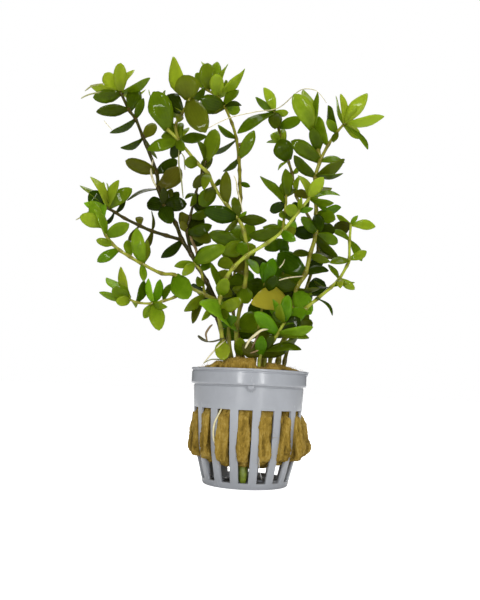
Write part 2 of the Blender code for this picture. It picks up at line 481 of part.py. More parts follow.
def make_slot_cutter(collection):
    """One block for each slot, so that a slat of even width is left between two slots."""
    shape = bmesh.new()
    pitch = 2.0 * math.pi / SLAT_COUNT
    inner, outer = SLOT_CUTTER_RADII
    half_pitch = math.tan(pitch / 2.0)
    slat_half = SLAT_WIDTH / 2.0 / math.cos(pitch / 2.0)
    for index in range(SLAT_COUNT):
        angle = FIRST_SLAT + pitch * (index + 0.5)
        wedge(shape, (inner, outer), (SLOT_BOTTOM, SLOT_TOP), angle,
              inner * half_pitch - slat_half, outer * half_pitch - slat_half)
    cutter = object_from_bmesh("slot_cutter", shape, collection)
    hide_tool(cutter)
    return cutter


def make_floor_cutter(collection):
    shape = bmesh.new()
    step = 2.0 * math.pi / FLOOR_HOLE_COUNT
    half_step = math.tan(step / 2.0)
    spoke_half = FLOOR_SPOKE / 2.0 / math.cos(step / 2.0)
    for index in range(FLOOR_HOLE_COUNT):
        for inner, outer in FLOOR_HOLE_ROWS:
            wedge(shape, (inner, outer), FLOOR_CUTTER_HEIGHTS, FIRST_SLAT + step * index,
                  inner * half_step - spoke_half, outer * half_step - spoke_half)
    cutter = object_from_bmesh("floor_cutter", shape, collection)
    hide_tool(cutter)
    return cutter


def make_pot(parts, cutters):
    pot = make_pot_shell(parts)
    apply_boolean(pot, make_slot_cutter(cutters), "DIFFERENCE")
    apply_boolean(pot, make_floor_cutter(cutters), "DIFFERENCE")
    tidy_mesh(pot)
    pot.data.materials.clear()
    pot.data.materials.append(new_material("grey_plastic", POT_GREY, POT_ROUGHNESS))
    pot.data.shade_smooth()
    pot.data.set_sharp_from_angle(angle=POT_SHARP_ANGLE)
    return pot


# Rock wool


def wool_radius(level, angle, lumps):
    front, left, right = level[1], level[2], level[3]
    side = right if math.cos(angle) > 0.0 else left
    share = abs(math.cos(angle)) ** 2
    radius = front + (side - front) * share
    in_slots = WOOL_SWELL_HEIGHTS[0] < level[0] < WOOL_SWELL_HEIGHTS[1]
    return radius + (lumps.uniform(-WOOL_LUMP, WOOL_LUMP) if in_slots else 0.0)


def make_wool_block(collection):
    """A turned block that swells through the slots, closed by a low domed top."""
    lumps = random.Random(7)
    shape = bmesh.new()
    rows = len(WOOL_LEVELS)
    bmesh.ops.create_cone(shape, cap_ends=True, cap_tris=False, segments=WOOL_SIDES,
                          radius1=1.0, radius2=1.0, depth=1.0)
    sides = [edge for edge in shape.edges if abs(edge.verts[0].co.z - edge.verts[1].co.z) > 0.5]
    bmesh.ops.subdivide_edges(shape, edges=sides, cuts=rows - 2, use_grid_fill=False)
    for vert in shape.verts:
        row = round((vert.co.z + 0.5) * (rows - 1))
        angle = math.atan2(vert.co.y, vert.co.x)
        radius = wool_radius(WOOL_LEVELS[row], angle, lumps)
        vert.co = Vector((radius * math.cos(angle), radius * math.sin(angle), WOOL_LEVELS[row][0]))
    top = max(shape.faces, key=lambda face: face.calc_center_median().z)
    bmesh.ops.inset_region(shape, faces=[top], thickness=WOOL_TOP_INSET)
    for vert in top.verts:
        angle = math.atan2(vert.co.y, vert.co.x)
        vert.co = Vector((WOOL_TOP_RADIUS * math.cos(angle), WOOL_TOP_RADIUS * math.sin(angle), WOOL_TOP))
    return object_from_bmesh("rock_wool", shape, collection)


def make_slat_room(collection):
    """The room that each slat needs in the wool, a little wider than the slat."""
    shape = bmesh.new()
    pitch = 2.0 * math.pi / SLAT_COUNT
    half = SLAT_WIDTH / 2.0 + GAP
    for index in range(SLAT_COUNT):
        made = bmesh.ops.create_cube(shape, size=1.0)["verts"]
        inner_edges = {
            -0.5: (FOOT_RADIUS - POT_WALL - GAP - SLAT_ROOM_EASE, SLAT_ROOM_HEIGHTS[0]),
            0.5: (SLOT_TOP_RADIUS - POT_WALL - GAP, SLAT_ROOM_HEIGHTS[1]),
        }
        for vert in made:
            inner, height = inner_edges[vert.co.z]
            reach = SLAT_ROOM_REACH if vert.co.x > 0.0 else inner
            vert.co = Vector((reach, math.copysign(half, vert.co.y), height))
        turn = Matrix.Rotation(FIRST_SLAT + pitch * index, 3, "Z")
        bmesh.ops.rotate(shape, verts=made, cent=(0, 0, 0), matrix=turn)
    room = object_from_bmesh("slat_room", shape, collection)
    hide_tool(room)
    return room


def make_stem_pockets(collection):
    """A pocket in the wool for each stem that is rooted in it."""
    shape = bmesh.new()
    for plan in PLAN.values():
        if plan["from"] is None:
            foot = seen_place(*plan["stem"][0])
            radius = (plan["radius"] + POCKET_EASE) * MM + GAP
            top = WOOL_TOP + POCKET_RISE
            bottom = ROOT_DEPTH - GAP
            radius *= POCKET_ROUNDING
            made = bmesh.ops.create_cone(shape, cap_ends=True, segments=POCKET_SIDES, radius1=radius,
                                         radius2=radius, depth=top - bottom)["verts"]
            bmesh.ops.translate(shape, verts=made, vec=(foot.x, foot.y, (top + bottom) / 2.0))
    pockets = object_from_bmesh("stem_pockets", shape, collection)
    hide_tool(pockets)
    return pockets


def make_wool(parts, cutters):
    wool = make_wool_block(parts)
    apply_boolean(wool, make_slat_room(cutters), "DIFFERENCE")
    apply_boolean(wool, make_stem_pockets(cutters), "DIFFERENCE")
    tidy_mesh(wool, WOOL_TRIANGLES)
    wool.data.materials.clear()
    wool.data.materials.append(new_material("brown_wool", WOOL_BROWN, WOOL_ROUGHNESS))
    return wool


# Shoots


def stem_route(name):
    """The middle line of a stem: rooted straight down in the wool, or set off from its fork."""
    plan = PLAN[name]
    route = [seen_place(*point) for point in plan["stem"]]
    if plan["from"] is None:
        return [Vector((route[0].x, route[0].y, ROOT_DEPTH))] + route
    parent_name, fork = plan["from"]
    parent = [seen_place(*point) for point in PLAN[parent_name]["stem"]]
    after = parent[min(fork + 1, len(parent) - 1)]
    along = (after - parent[fork - 1]).normalized()
    out = (route[1] - route[0]).normalized()
    lean = abs(out.dot(along))
    across = max(math.sqrt(1.0 - lean * lean), LEAST_FORK_ANGLE)
    needed = PLAN[parent_name]["radius"] * MM * STEM_ROOT_SHARE + GAP + plan["radius"] * MM * lean
    route[0] = route[0] + out * (needed / across)
    return route


def make_stem(name, collection):
    """A tapered tube along the stem's route, as a closed mesh."""
    plan = PLAN[name]
    route = stem_route(name)
    curve = bpy.data.curves.new(name, "CURVE")
    curve.dimensions = "3D"
    curve.bevel_depth = plan["radius"] * MM
    curve.bevel_resolution = 0
    curve.use_fill_caps = True
    spline = curve.splines.new("POLY")
    spline.points.add(len(route) - 1)
    for index, point in enumerate(route):
        spline.points[index].co = (*point, 1.0)
        spline.points[index].radius = STEM_ROOT_SHARE - STEM_TAPER * index / (len(route) - 1)
    tube = bpy.data.objects.new(name + "_tube", curve)
    collection.objects.link(tube)
    mesh = bpy.data.meshes.new_from_object(tube.evaluated_get(bpy.context.evaluated_depsgraph_get()))
    bpy.data.objects.remove(tube, do_unlink=True)
    shape = bmesh.new()
    shape.from_mesh(mesh)
    bmesh.ops.remove_doubles(shape, verts=shape.verts, dist=0.000001)
    bmesh.ops.recalc_face_normals(shape, faces=shape.faces)
    bpy.data.meshes.remove(mesh)
    return object_from_bmesh(name, shape, collection)


def leaf_blank(corners):
    """One leaf before it is shaped: a straight bar of stations, with its length along Z from 0 to 1."""
    shape = bmesh.new()
    bmesh.ops.create_cone(shape, cap_ends=True, cap_tris=False, segments=corners,
                          radius1=1.0, radius2=1.0, depth=1.0)
    bmesh.ops.translate(shape, verts=shape.verts, vec=(0, 0, 0.5))
    for station in LEAF_STATIONS[1:-1]:
        everything = shape.verts[:] + shape.edges[:] + shape.faces[:]
        bmesh.ops.bisect_plane(shape, geom=everything, plane_co=(0, 0, station), plane_no=(0, 0, 1))
    shape.verts.index_update()
    return shape


def leaf_frame(base, tip, width, turn_side):
    """Length, across and face directions of a leaf, and its real width.

    A leaf that shows narrow for its length is a natural one that is turned on its own axis.
    """
    length = (tip - base).length
    along = (tip - base) / length
    to_eye = (EYE - (base + tip) / 2.0).normalized()
    face = (to_eye - along * to_eye.dot(along)).normalized()
    real_width = max(width, NATURAL_WIDTH * length)
    turn = math.acos(min(1.0, width / real_width)) * turn_side
    face = Matrix.Rotation(turn, 3, along) @ face
    return along, along.cross(face), face, real_width


def shape_leaf(blank, base, tip, width, turn_side, stem_radius, spare, start=0.0):
    """The points of one leaf.

    Spare makes it larger all round, to test its room, and start leaves out the foot of the leaf,
    where it may meet the other leaves of its own stem.
    """
    along, across, face, real_width = leaf_frame(base, tip, width, turn_side)
    length = (tip - base).length
    points = []
    for vert in blank.verts:
        station = min(range(len(LEAF_STATIONS)), key=lambda i: abs(LEAF_STATIONS[i] - vert.co.z))
        share = start + (1.0 - start) * LEAF_STATIONS[station]
        half = LEAF_HALF_WIDTHS[station] * real_width
        if station == 0:
            half = min(half, stem_radius * LEAF_FOOT_SHARE)
        thickness = LEAF_THICKNESS * (LEAF_TIP_THICKNESS_SHARE if station == len(LEAF_STATIONS) - 1 else 1.0)
        ring = math.atan2(vert.co.y, vert.co.x)
        side = math.sin(ring) * (half + spare) / MAX_SIDE[len(blank.verts) // len(LEAF_STATIONS)]
        rise = math.cos(ring) * (thickness / 2.0 + spare)
        bow = LEAF_BOW * length * 4.0 * share * (1.0 - share)
        reach = share * (length + spare)
        points.append(base + along * reach + across * side + face * (rise + bow))
    return points


MAX_SIDE = {3: math.sin(math.radians(120.0)), 4: 1.0}


def natural_reach(base_plan, tip_plan, width, index):
    """How far a leaf reaches towards or away from the eye where the plan gives no depth."""
    flat = math.hypot(tip_plan[0] - base_plan[0], tip_plan[1] - base_plan[1])
    natural = min(NATURAL_LENGTH * width, LONGEST_LEAF / MM)
    spare = math.sqrt(max(natural * natural - flat * flat, 0.0))
    return spare * (1.0 if index % 2 else -1.0)


def around(points):
    """The middle of some points, and how far the farthest of them is from it."""
    centre = sum(points, Vector()) / len(points)
    return centre, max((point - centre).length for point in points)


class Room:
    """What already stands in the plant, so that each new leaf can be set clear of it."""

    def __init__(self):
        self.entries = []

    def add(self, owner, points, outer_points, faces):
        """Outer points are the part of a leaf that its own stem's other leaves must leave free."""
        centre, reach = around(points)
        whole = BVHTree.FromPolygons(points, faces)
        outer = BVHTree.FromPolygons(outer_points, faces)
        self.entries.append((owner, centre, reach, whole, outer))

    def is_clear(self, owner, points, outer_points, faces, mind_own):
        centre, reach = around(points)
        whole = BVHTree.FromPolygons(points, faces)
        outer = BVHTree.FromPolygons(outer_points, faces)
        for other, other_centre, other_reach, other_whole, other_outer in self.entries:
            if (centre - other_centre).length > reach + other_reach:
                continue
            if other != owner and whole.overlap(other_whole):
                return False
            if other == owner and mind_own and outer.overlap(other_outer):
                return False
        return True


def mesh_lists(item):
    points = [vert.co.copy() for vert in item.data.vertices]
    faces = [tuple(face.vertices) for face in item.data.polygons]
    return points, faces


def add_object(room, item):
    points, faces = mesh_lists(item)
    room.add(item.name, points, points, faces)


def leaf_foot(route, index, order):
    """Where a leaf starts: on the stem's middle line, a little off the point that the plan names."""
    ahead = route[index + 1] if index + 1 < len(route) else route[index]
    behind = route[index - 1] if index > 0 else route[index]
    if index + 1 == len(route):
        return route[index] + (behind - ahead).normalized() * TOP_SETBACK
    return route[index] + (ahead - behind).normalized() * LEAF_STAGGER * (order % 5 - 2)


def place_leaves(name, room, thin_blank, test_blank):
    """Choose the depth of each leaf's tip so that the leaf is clear of every other shoot.

    Leaves of one stem also stay clear of each other past their feet, where there is room for it.
    """
    plan = PLAN[name]
    route = stem_route(name)
    first = 1 if plan["from"] is None else 0
    stem_radius = plan["radius"] * MM
    faces = [tuple(vert.index for vert in face.verts) for face in test_blank.faces]
    leaves = []
    for index, (node, width_at, height_at, width, _, reach) in enumerate(plan["leaves"]):
        base_plan = plan["stem"][node]
        base = leaf_foot(route, node + first, index)
        if reach is None:
            reach = natural_reach(base_plan, (width_at, height_at), width, index)
        turn_side = 1.0 if index % 2 else -1.0
        for mind_own, extra in [(True, step) for step in DEPTH_TRIES] + [(False, step) for step in DEPTH_TRIES]:
            tip = seen_place(width_at, height_at, base_plan[2] + reach + extra)
            real_width = width * MM * (tip.y - EYE.y) / -EYE.y
            leaf = (base, tip, real_width, turn_side, stem_radius)
            whole = shape_leaf(test_blank, *leaf, LEAF_CLEARANCE)
            outer = shape_leaf(test_blank, *leaf, LEAF_CLEARANCE, LEAF_BARE_SHARE)
            if room.is_clear(name, whole, outer, faces, mind_own):
                room.add(name, whole, outer, faces)
                leaves.append(shape_leaf(thin_blank, *leaf, 0.0))
                if not mind_own:
                    print(name, "leaf", index, "meets its own stem's leaves")
                break
        else:
            print(name, "leaf", index, "has no room")
    return leaves


def leaf_body(name, points, blank, collection):
    """One leaf as a closed body of flat faces."""
    shape = bmesh.new()
    verts = [shape.verts.new(point) for point in points]
    for face in blank.faces:
        shape.faces.new([verts[vert.index] for vert in face.verts])
    bmesh.ops.triangulate(shape, faces=shape.faces)
    bmesh.ops.recalc_face_normals(shape, faces=shape.faces)
    return object_from_bmesh(name + "_leaf", shape, collection)


def shoot_colour(plan):
    tones = [leaf[4] for leaf in plan["leaves"]]
    share = sum(tones) / len(tones)
    return tuple(bright + (dark - bright) * share for bright, dark in zip(BRIGHT_GREEN, DARK_GREEN))


def make_shoots(parts, cutters, obstacles):
    room = Room()
    stems = {name: make_stem(name, parts) for name in PLAN}
    for item in (*obstacles, *stems.values()):
        add_object(room, item)
    thin_blank = leaf_blank(3)
    test_blank = leaf_blank(4)
    for name, stem in stems.items():
        leaves = place_leaves(name, room, thin_blank, test_blank)
        for points in leaves:
            apply_boolean(stem, leaf_body(name, points, thin_blank, cutters), "UNION")
        tidy_mesh(stem, len(leaves) * LEAF_TRIANGLES + len(PLAN[name]["stem"]) * STEM_POINT_TRIANGLES)
        stem.data.materials.clear()
        stem.data.materials.append(new_material(name + "_green", shoot_colour(PLAN[name]), LEAF_ROUGHNESS))
    thin_blank.free()
    test_blank.free()


def main():
    clear_scene()
    parts = new_collection("potted_lemon_bacopa")
    cutters = new_collection("cutters")
    pot = make_pot(parts, cutters)
    wool = make_wool(parts, cutters)
    make_shoots(parts, cutters, (pot, wool))


main()
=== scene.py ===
"""The looks of the potted lemon bacopa: its leaves, stems, fine roots, rock wool and net pot.

Places are in metres in the frame's own axes.  The front of the plant faces -Y.
"""

import math
import random
from collections import namedtuple

import bmesh
import bpy
import numpy as np
from mathutils import Matrix, Vector, noise
from mathutils.bvhtree import BVHTree


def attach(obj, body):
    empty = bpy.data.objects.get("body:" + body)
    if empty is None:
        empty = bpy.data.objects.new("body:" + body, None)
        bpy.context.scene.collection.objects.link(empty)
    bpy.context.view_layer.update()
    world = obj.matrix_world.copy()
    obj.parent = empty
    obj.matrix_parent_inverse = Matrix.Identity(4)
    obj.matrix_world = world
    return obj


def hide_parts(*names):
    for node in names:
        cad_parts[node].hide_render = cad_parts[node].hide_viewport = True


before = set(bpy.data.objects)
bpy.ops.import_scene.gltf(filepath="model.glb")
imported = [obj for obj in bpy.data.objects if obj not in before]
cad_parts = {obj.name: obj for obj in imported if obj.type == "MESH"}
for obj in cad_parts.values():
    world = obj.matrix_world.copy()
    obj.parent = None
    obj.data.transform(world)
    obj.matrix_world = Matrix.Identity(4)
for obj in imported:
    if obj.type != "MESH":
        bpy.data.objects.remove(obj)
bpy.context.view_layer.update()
bpy.ops.object.select_all(action="DESELECT")

MM = 0.001

# The eye that the planting plan is drawn from, and the camera that stands there
EYE = Vector((0.0, -310.0 * MM, 46.0 * MM))
CAMERA_TARGET = Vector((-5.9 * MM, 0.0, 85.6 * MM))
CAMERA_ROLL = math.radians(2.5)
CAMERA_LENS = 39.0
CAMERA_SENSOR = 36.0

# Leaf and fork proportions that the solids share
SOLID_STATION = 0.64
SOLID_TIP_HALF_WIDTH = 0.24
LEAF_BOW = 0.07
NATURAL_LENGTH = 1.75
LONGEST_LEAF = 21.0 * MM
NATURAL_WIDTH = 0.4
DEPTH_TRIES = (0.0, 1.5, -1.5, 3.0, -3.0, 4.5, -4.5, 6.5, -6.5, 9.0, -9.0, 12.0, -12.0, 15.0, -15.0)
TOP_SETBACK = 0.9 * MM
LEAF_STAGGER = 0.23 * MM
ROOT_DEPTH = 50.0 * MM
FORK_CLEARANCE = 1.1
FORK_GAP = 0.35 * MM
FLATTEST_FORK = 0.3

# The planting plan, in millimetres.
# stem: (width, height, depth) from the root or the fork to the top.
# leaves: (stem point, tip width, tip height, blade width, tone, reach in depth or None).
# A tone runs from 0, a bright young leaf, to 1, a dark old one.
PLAN = {
    "tall_left_shoot": {
        "from": None, "radius": 1.3,
        "stem": [(-10, 57, 6), (-13, 66, 6), (-16, 76, 7), (-18.5, 86, 8), (-22.5, 94, 9), (-27, 101, 10),
                 (-30.5, 107, 11), (-35.4, 113.9, 12), (-39, 122, 14), (-44.8, 130.5, 16),
                 (-48.5, 139.2, 18), (-49.9, 147.4, 20), (-57.7, 165.3, 22), (-62, 174.6, 24),
                 (-65.6, 179.2, 25), (-70.5, 188.5, 26)],
        "leaves": [(7, -45.1, 104.6, 4.8, .85, None), (9, -53.8, 131.8, 7.2, .95, 3),
                   (9, -38.7, 137.4, 5.2, .85, 6), (9, -34, 132, 7.5, .9, -5),
                   (9, -41, 121.5, 7.8, .75, -6), (10, -63.5, 132.3, 1.4, .9, 2),
                   (10, -38.8, 150.5, 9, .95, 5), (11, -40.1, 153.9, 6.2, .85, 4),
                   (11, -65.6, 152.8, 7.1, .75, -3), (12, -49.6, 154.8, 2.6, .6, 5),
                   (12, -68.5, 159.2, 3.3, .6, -4), (12, -52.1, 172.3, 5.7, .6, 5),
                   (13, -74.7, 167.5, 3.5, .7, 3), (13, -58.7, 185.7, 4.3, .6, -4),
                   (14, -82.1, 178, 6.2, .7, -3), (14, -62.8, 190.8, 7.5, .65, 4),
                   (15, -84.2, 185, 6.7, .6, -2), (15, -71.3, 203.6, 7.1, .15, -3),
                   (15, -64.2, 200.4, 3.2, .1, 5), (15, -79.3, 198.2, 7.1, .1, 4),
                   (15, -86.1, 191.1, 5.7, .2, 4), (15, -56.4, 197.3, 4.5, .35, 2),
                   (3, -28.9, 92.4, 3.8, .85, 9), (15, -57.7, 189.7, 1.9, .15, 3),
                   (2, -21.7, 93.2, 4.3, .8, 5), (9, -41.7, 139.3, 4.3, .9, 4),
                   (9, -45.7, 139.9, 4.3, .9, -4), (15, -77.5, 183.4, 4.3, .5, 4)],
    },
    "left_side_branch": {
        "from": ("tall_left_shoot", 7), "radius": 1,
        "stem": [(-35.4, 113.9, 12), (-43.2, 115.8, 8), (-50.5, 117.8, 4), (-56.3, 120.1, 0),
                 (-64.3, 123.7, -5), (-69, 126.4, -8), (-73.5, 128.7, -11)],
        "leaves": [(2, -55.6, 107.6, 3.3, .9, -3), (2, -51.7, 127.7, 1.4, .9, 3),
                   (3, -56.7, 125, 3.8, .85, 4), (3, -61.8, 109.4, 1.9, .95, -3),
                   (5, -74, 120, 1.9, .85, -3), (5, -64.8, 133.3, 2.4, .9, 3), (6, -82.5, 136, 9, .8, -3),
                   (6, -61.5, 138.7, 6.7, .35, 3), (6, -68.2, 142.8, 4.3, .2, -3),
                   (6, -81.7, 144.3, 4.3, .1, -4), (6, -76.5, 141.5, 3.5, .1, 4),
                   (6, -87.5, 138.7, 3, .3, 2), (6, -84.7, 130.5, 4.8, .05, -5),
                   (6, -74, 141.1, 3.3, .2, 4)],
    },
    "dark_inner_branch": {
        "from": ("tall_left_shoot", 6), "radius": 0.85,
        "stem": [(-30.5, 107, 11), (-33.2, 118, 6), (-32, 125.5, 5), (-30, 137, 4), (-27.5, 147.5, 2),
                 (-25.8, 154.5, 0)],
        "leaves": [(5, -22, 170.6, 8.1, .35, 3), (5, -30.2, 165.1, 3.3, .6, -3),
                   (4, -22.8, 156.3, 4.8, .75, 5), (3, -35.1, 134.5, 1.9, .6, -3),
                   (3, -31.9, 131, 2.9, .45, -5), (1, -26, 126, 8, .85, 4), (2, -38, 124, 7, .85, 5),
                   (1, -25, 112, 8, .85, 5), (3, -24, 128, 6, .85, 5), (1, -21.2, 113.5, 6.7, .6, 4),
                   (1, -21.2, 121.9, 5.7, .55, -4), (2, -23, 128.9, 4.8, .5, 4),
                   (1, -36.4, 123.3, 3.8, .7, 4), (3, -27.3, 127.7, 4.3, .6, -4)],
    },
    "middle_shoot": {
        "from": None, "radius": 1.15,
        "stem": [(-5.5, 58.5, -1), (-6.5, 64, -2), (-7, 72, -3), (-5.5, 83.5, -4), (-4, 92, -6),
                 (-3.5, 98.5, -8), (-3.5, 106.5, -8), (-4, 112, -8), (-5.5, 119.5, -9), (-8.5, 125.5, -9),
                 (-14.5, 132.5, -10), (-21, 141, -11), (-24.5, 148, -12), (-30, 153, -13),
                 (-40, 164.5, -15), (-46, 170, -17)],
        "leaves": [(15, -54.1, 189.1, 12.4, .45, -4), (14, -44.5, 170.5, 12.5, .45, 6),
                   (14, -25.9, 167.1, 5.2, .6, 2), (14, -36.9, 158.9, 4.8, .4, -4),
                   (14, -35, 170.9, 2.9, .15, 4), (14, -55.3, 159.3, 6, .35, -2),
                   (13, -36.6, 153.2, 6.2, .45, -5), (12, -25.9, 139.1, 4.8, .35, -6),
                   (12, -31.2, 140.2, 5.2, .85, 4), (11, -17.8, 144.8, 2.4, .6, 4),
                   (11, -28, 132, 8, .4, 3), (11, -25.2, 133.3, 5.7, .6, -6),
                   (10, -15.3, 149.5, 6.2, .6, -5), (9, -11.1, 136.4, 4.8, .55, 6),
                   (9, -25.5, 129.3, 8.6, .7, -5), (9, 5.6, 125.5, 5.2, .6, -4),
                   (9, -14.5, 119, 2.9, .5, -4), (9, -4.6, 129.6, 2.4, .2, -4),
                   (7, -22.4, 117.9, 8.1, .45, -4), (7, -15.5, 108, 8, .3, -5),
                   (6, 2.3, 98.1, 4.3, .15, -7), (4, -2, 84, 8, .3, -6), (4, -9, 86.5, 8, .3, 6),
                   (4, -11.5, 94, 9, .55, 3), (4, 2.5, 95, 7, .4, 3), (2, -23.6, 83.4, 9, .2, -6),
                   (2, 5, 76.9, 10.5, .3, 7), (0, -5, 67.5, 6.2, .25, -7), (5, -13, 110, 11, .85, 9),
                   (6, 7, 101.3, 7.6, .85, 10), (3, -14, 92, 9, .85, 10), (14, -42.6, 155.1, 5.7, .85, 4)],
    },
    "middle_top_branch": {
        "from": ("middle_shoot", 14), "radius": 0.8,
        "stem": [(-40, 164.5, -15), (-41.8, 172, -17), (-39, 178, -18), (-35.4, 186.6, -20)],
        "leaves": [(3, -39.5, 198.6, 12.9, .62, -5), (3, -27, 169.6, 11.4, .68, -6),
                   (3, -45.1, 208, 8.1, .12, 3), (2, -46.5, 187.8, 8.6, .85, 4),
                   (2, -49.6, 189.2, 3.8, .4, 7), (2, -40.7, 174.3, 4.3, .6, -6),
                   (1, -57.2, 189.2, 1.4, .4, 3), (3, -28, 192, 4, .6, 8)],
    },
    "centre_tall_branch": {
        "from": ("middle_shoot", 9), "radius": 1,
        "stem": [(-8.5, 125.5, -9), (-7.9, 136, -4), (-8.4, 143.1, 0), (-8.9, 150, 3), (-9.5, 156.3, 6),
                 (-11.2, 166.1, 10), (-13.8, 174.3, 13), (-18, 183, 16), (-21.5, 187.5, 18),
                 (-27.5, 191.5, 20)],
        "leaves": [(5, -24.9, 158.1, 2.4, .55, -3), (4, -2.6, 170.8, 6.2, .4, -3),
                   (4, -17, 148.9, 2.9, .55, 5), (2, -3, 142, 2.6, .5, -3), (5, -20.7, 173, 3.3, .45, -4),
                   (7, -30.3, 186.2, 9.5, .6, -5), (7, -9.7, 184.1, 2.6, .85, -6),
                   (8, -7.4, 202.4, 5.2, .15, 3), (7, -11.8, 192.2, 5, .5, 6),
                   (7, -10, 181.2, 6.2, .25, 4), (9, -27.3, 205.5, 9, .4, -4), (9, -29.9, 207, 5.2, .2, 3),
                   (9, -22.3, 206.7, 6.7, .3, 5), (8, -22.7, 200, 7.4, .2, -6),
                   (8, -16.9, 205.3, 2.9, .15, -2), (8, -17.7, 196.2, 2.4, .35, 7),
                   (9, -33.5, 199.4, 4.8, .3, 5), (7, -27, 179, 3.8, .6, -4)],
    },
    "bright_front_shoot": {
        "from": None, "radius": 1.1,
        "stem": [(-11.5, 57.5, -12), (-13.5, 66, -14), (-14.5, 72, -16), (-16, 80, -18),
                 (-15.5, 86.5, -19), (-13, 96, -20), (-9.5, 101.5, -21), (-3.5, 107.5, -22), (6, 114, -23),
                 (13.5, 120.5, -24), (21, 130.5, -26), (26.5, 138, -28)],
        "leaves": [(11, 32.5, 148, 6.2, .05, -6), (11, 20.4, 149.1, 3.6, .15, 4),
                   (11, 40.6, 140.5, 2.6, .2, -3), (11, 38, 135.6, 3.8, .3, -3),
                   (11, 36.8, 142.6, 3.8, .6, 4), (11, 19.3, 139.9, 4.3, .7, 7),
                   (10, 14.4, 132.6, 6.2, .12, -3), (10, 27.8, 132.1, 3.1, .2, -4),
                   (10, 22, 137.5, 2.4, .2, -3), (10, 26, 137.5, 2.9, .5, 7),
                   (9, 19.8, 115.8, 4.8, .2, -5), (9, 19.4, 121.1, 4.3, .35, 6),
                   (9, -3.1, 116.7, 6.7, .5, 4), (9, 3.8, 121.7, 3.8, .4, 6), (4, -12.6, 96, 6.7, .1, -6),
                   (4, -21.5, 102.5, 3.2, .35, 3), (3, -5, 86.1, 6.2, .25, -4),
                   (3, -11, 76.5, 4.8, .5, -4), (2, -7, 77.5, 5, .45, -3), (4, -10.5, 91, 6, .5, 5),
                   (1, -12.3, 56.8, 7.6, .08, -7), (7, -8, 114, 6, .3, 5), (6, -18, 104, 6, .3, 6)],
    },
    "front_side_twig": {
        "from": ("bright_front_shoot", 9), "radius": 0.75,
        "stem": [(13.5, 121, -24), (14, 129, -21), (14.5, 134.5, -20), (14.5, 138.5, -19)],
        "leaves": [(3, 13.7, 145.7, 6.7, .4, 3), (2, .8, 146.8, 4.3, .45, -2),
                   (2, 6.9, 130.1, 5.2, .75, 4), (3, 9.9, 140.8, 1.9, .6, 5),
                   (1, 11.8, 127.8, 4.8, .45, -6), (1, 19.5, 129, 7, .45, 6), (3, 18.7, 141.6, 2.9, .5, 5),
                   (3, 13.7, 151.9, 5.7, .45, 6)],
    },
    "thick_right_shoot": {
        "from": None, "radius": 1.35,
        "stem": [(13.5, 57, 5), (15, 65, 5), (18.5, 74.5, 5), (20, 82.5, 5), (21, 92, 4), (25, 99.5, 3),
                 (27, 109, 2), (29.5, 119, 1), (29.5, 129.5, 0), (29, 137, -1), (28.5, 148, -2),
                 (30.5, 156.5, -3), (29.5, 161.5, -4), (26.5, 173, -6)],
        "leaves": [(13, 16.6, 190.6, 9.5, .2, -4), (13, 21.3, 192.9, 6, .3, 6),
                   (13, 28.8, 191.9, 4.3, .35, 2), (12, 25.9, 173.2, 6.2, .6, -6),
                   (12, 27.6, 173.8, 8.1, .55, -3), (11, 15.9, 166.1, 7.6, .55, -4),
                   (11, 42.9, 156.6, 3.6, .45, 4), (10, 42.9, 157.6, 5.7, .6, 4),
                   (10, 17.7, 158.9, 5.7, .6, -3), (10, 42, 150.2, 2.9, .5, -8),
                   (9, 34.2, 131.1, 3.8, .45, -4), (8, 38.9, 127.1, 6.7, .3, -6),
                   (8, 32, 120, 5.7, .7, -8), (8, 40.7, 133.9, 4.3, .4, 6), (7, 22.1, 127.9, 5.2, .35, -6),
                   (7, 19, 120, 6.7, .8, 5), (7, 38.5, 123, 6.7, .8, 7), (7, 40.3, 108.8, 4.8, .6, -5),
                   (7, 40.4, 115.4, 5.7, .35, 3), (6, 18.1, 108.6, 3.8, .65, -5), (6, 41, 107, 3, .75, 5),
                   (6, 36.8, 105.9, 4.3, .4, -4), (5, 36.4, 102, 4.3, .7, 5), (5, 12, 108.9, 10.5, .5, 5),
                   (5, 17.5, 95, 4.8, .35, 8), (4, 32.5, 94, 2.4, .65, -3), (4, 28.6, 87.5, 6.7, .3, 4),
                   (4, 28.5, 80, 9, .2, -5), (4, 25.5, 84, 8, .4, 6), (4, 10, 95.5, 8.5, .6, -3),
                   (4, 12.5, 91, 9, .85, 5), (3, 11, 86.5, 9, .8, 7), (2, 29.5, 76, 7, .6, 3),
                   (3, -0.6, 84.4, 11.4, .2, -7), (5, 33, 108, 6.7, .8, 11), (3, 29, 90, 2.4, .8, 11)],
    },
    "right_top_branch": {
        "from": ("thick_right_shoot", 11), "radius": 0.9,
        "stem": [(30.5, 156.5, -3), (34.5, 165, -5), (38.5, 171.5, -8), (42.5, 176.5, -12)],
        "leaves": [(1, 29.9, 179.3, 5.2, .35, 5), (2, 33.5, 177.6, 4.5, .4, -4),
                   (2, 34.8, 185, 4.3, .6, 5), (2, 37, 165.6, 3.3, .65, -4), (3, 54.5, 163.9, 1.9, .4, -3),
                   (3, 40.3, 191.8, 3.3, .2, -3), (3, 53.3, 192, 7.1, .05, -3),
                   (3, 61.7, 180.8, 5.2, .15, 2), (3, 50, 168.7, 4.8, .25, 4),
                   (3, 48.2, 185.5, 2.9, .1, -4), (3, 38.4, 190.6, 1.9, .3, 2)],
    },
    "rear_right_shoot": {
        "from": None, "radius": 1,
        "stem": [(16.5, 57, 13), (20, 72, 15), (25, 90, 16), (29, 104, 17), (31, 112.5, 17), (29, 119, 17),
                 (26.5, 126.5, 17), (23, 132.5, 17), (19.5, 138, 17), (17, 149.5, 18), (15, 155.5, 18),
                 (12.5, 163.5, 19), (9.5, 172.5, 20), (7, 181.5, 21)],
        "leaves": [(9, 13.1, 147, 3.8, .45, 5), (9, 20.6, 152.9, 2.4, .25, 4),
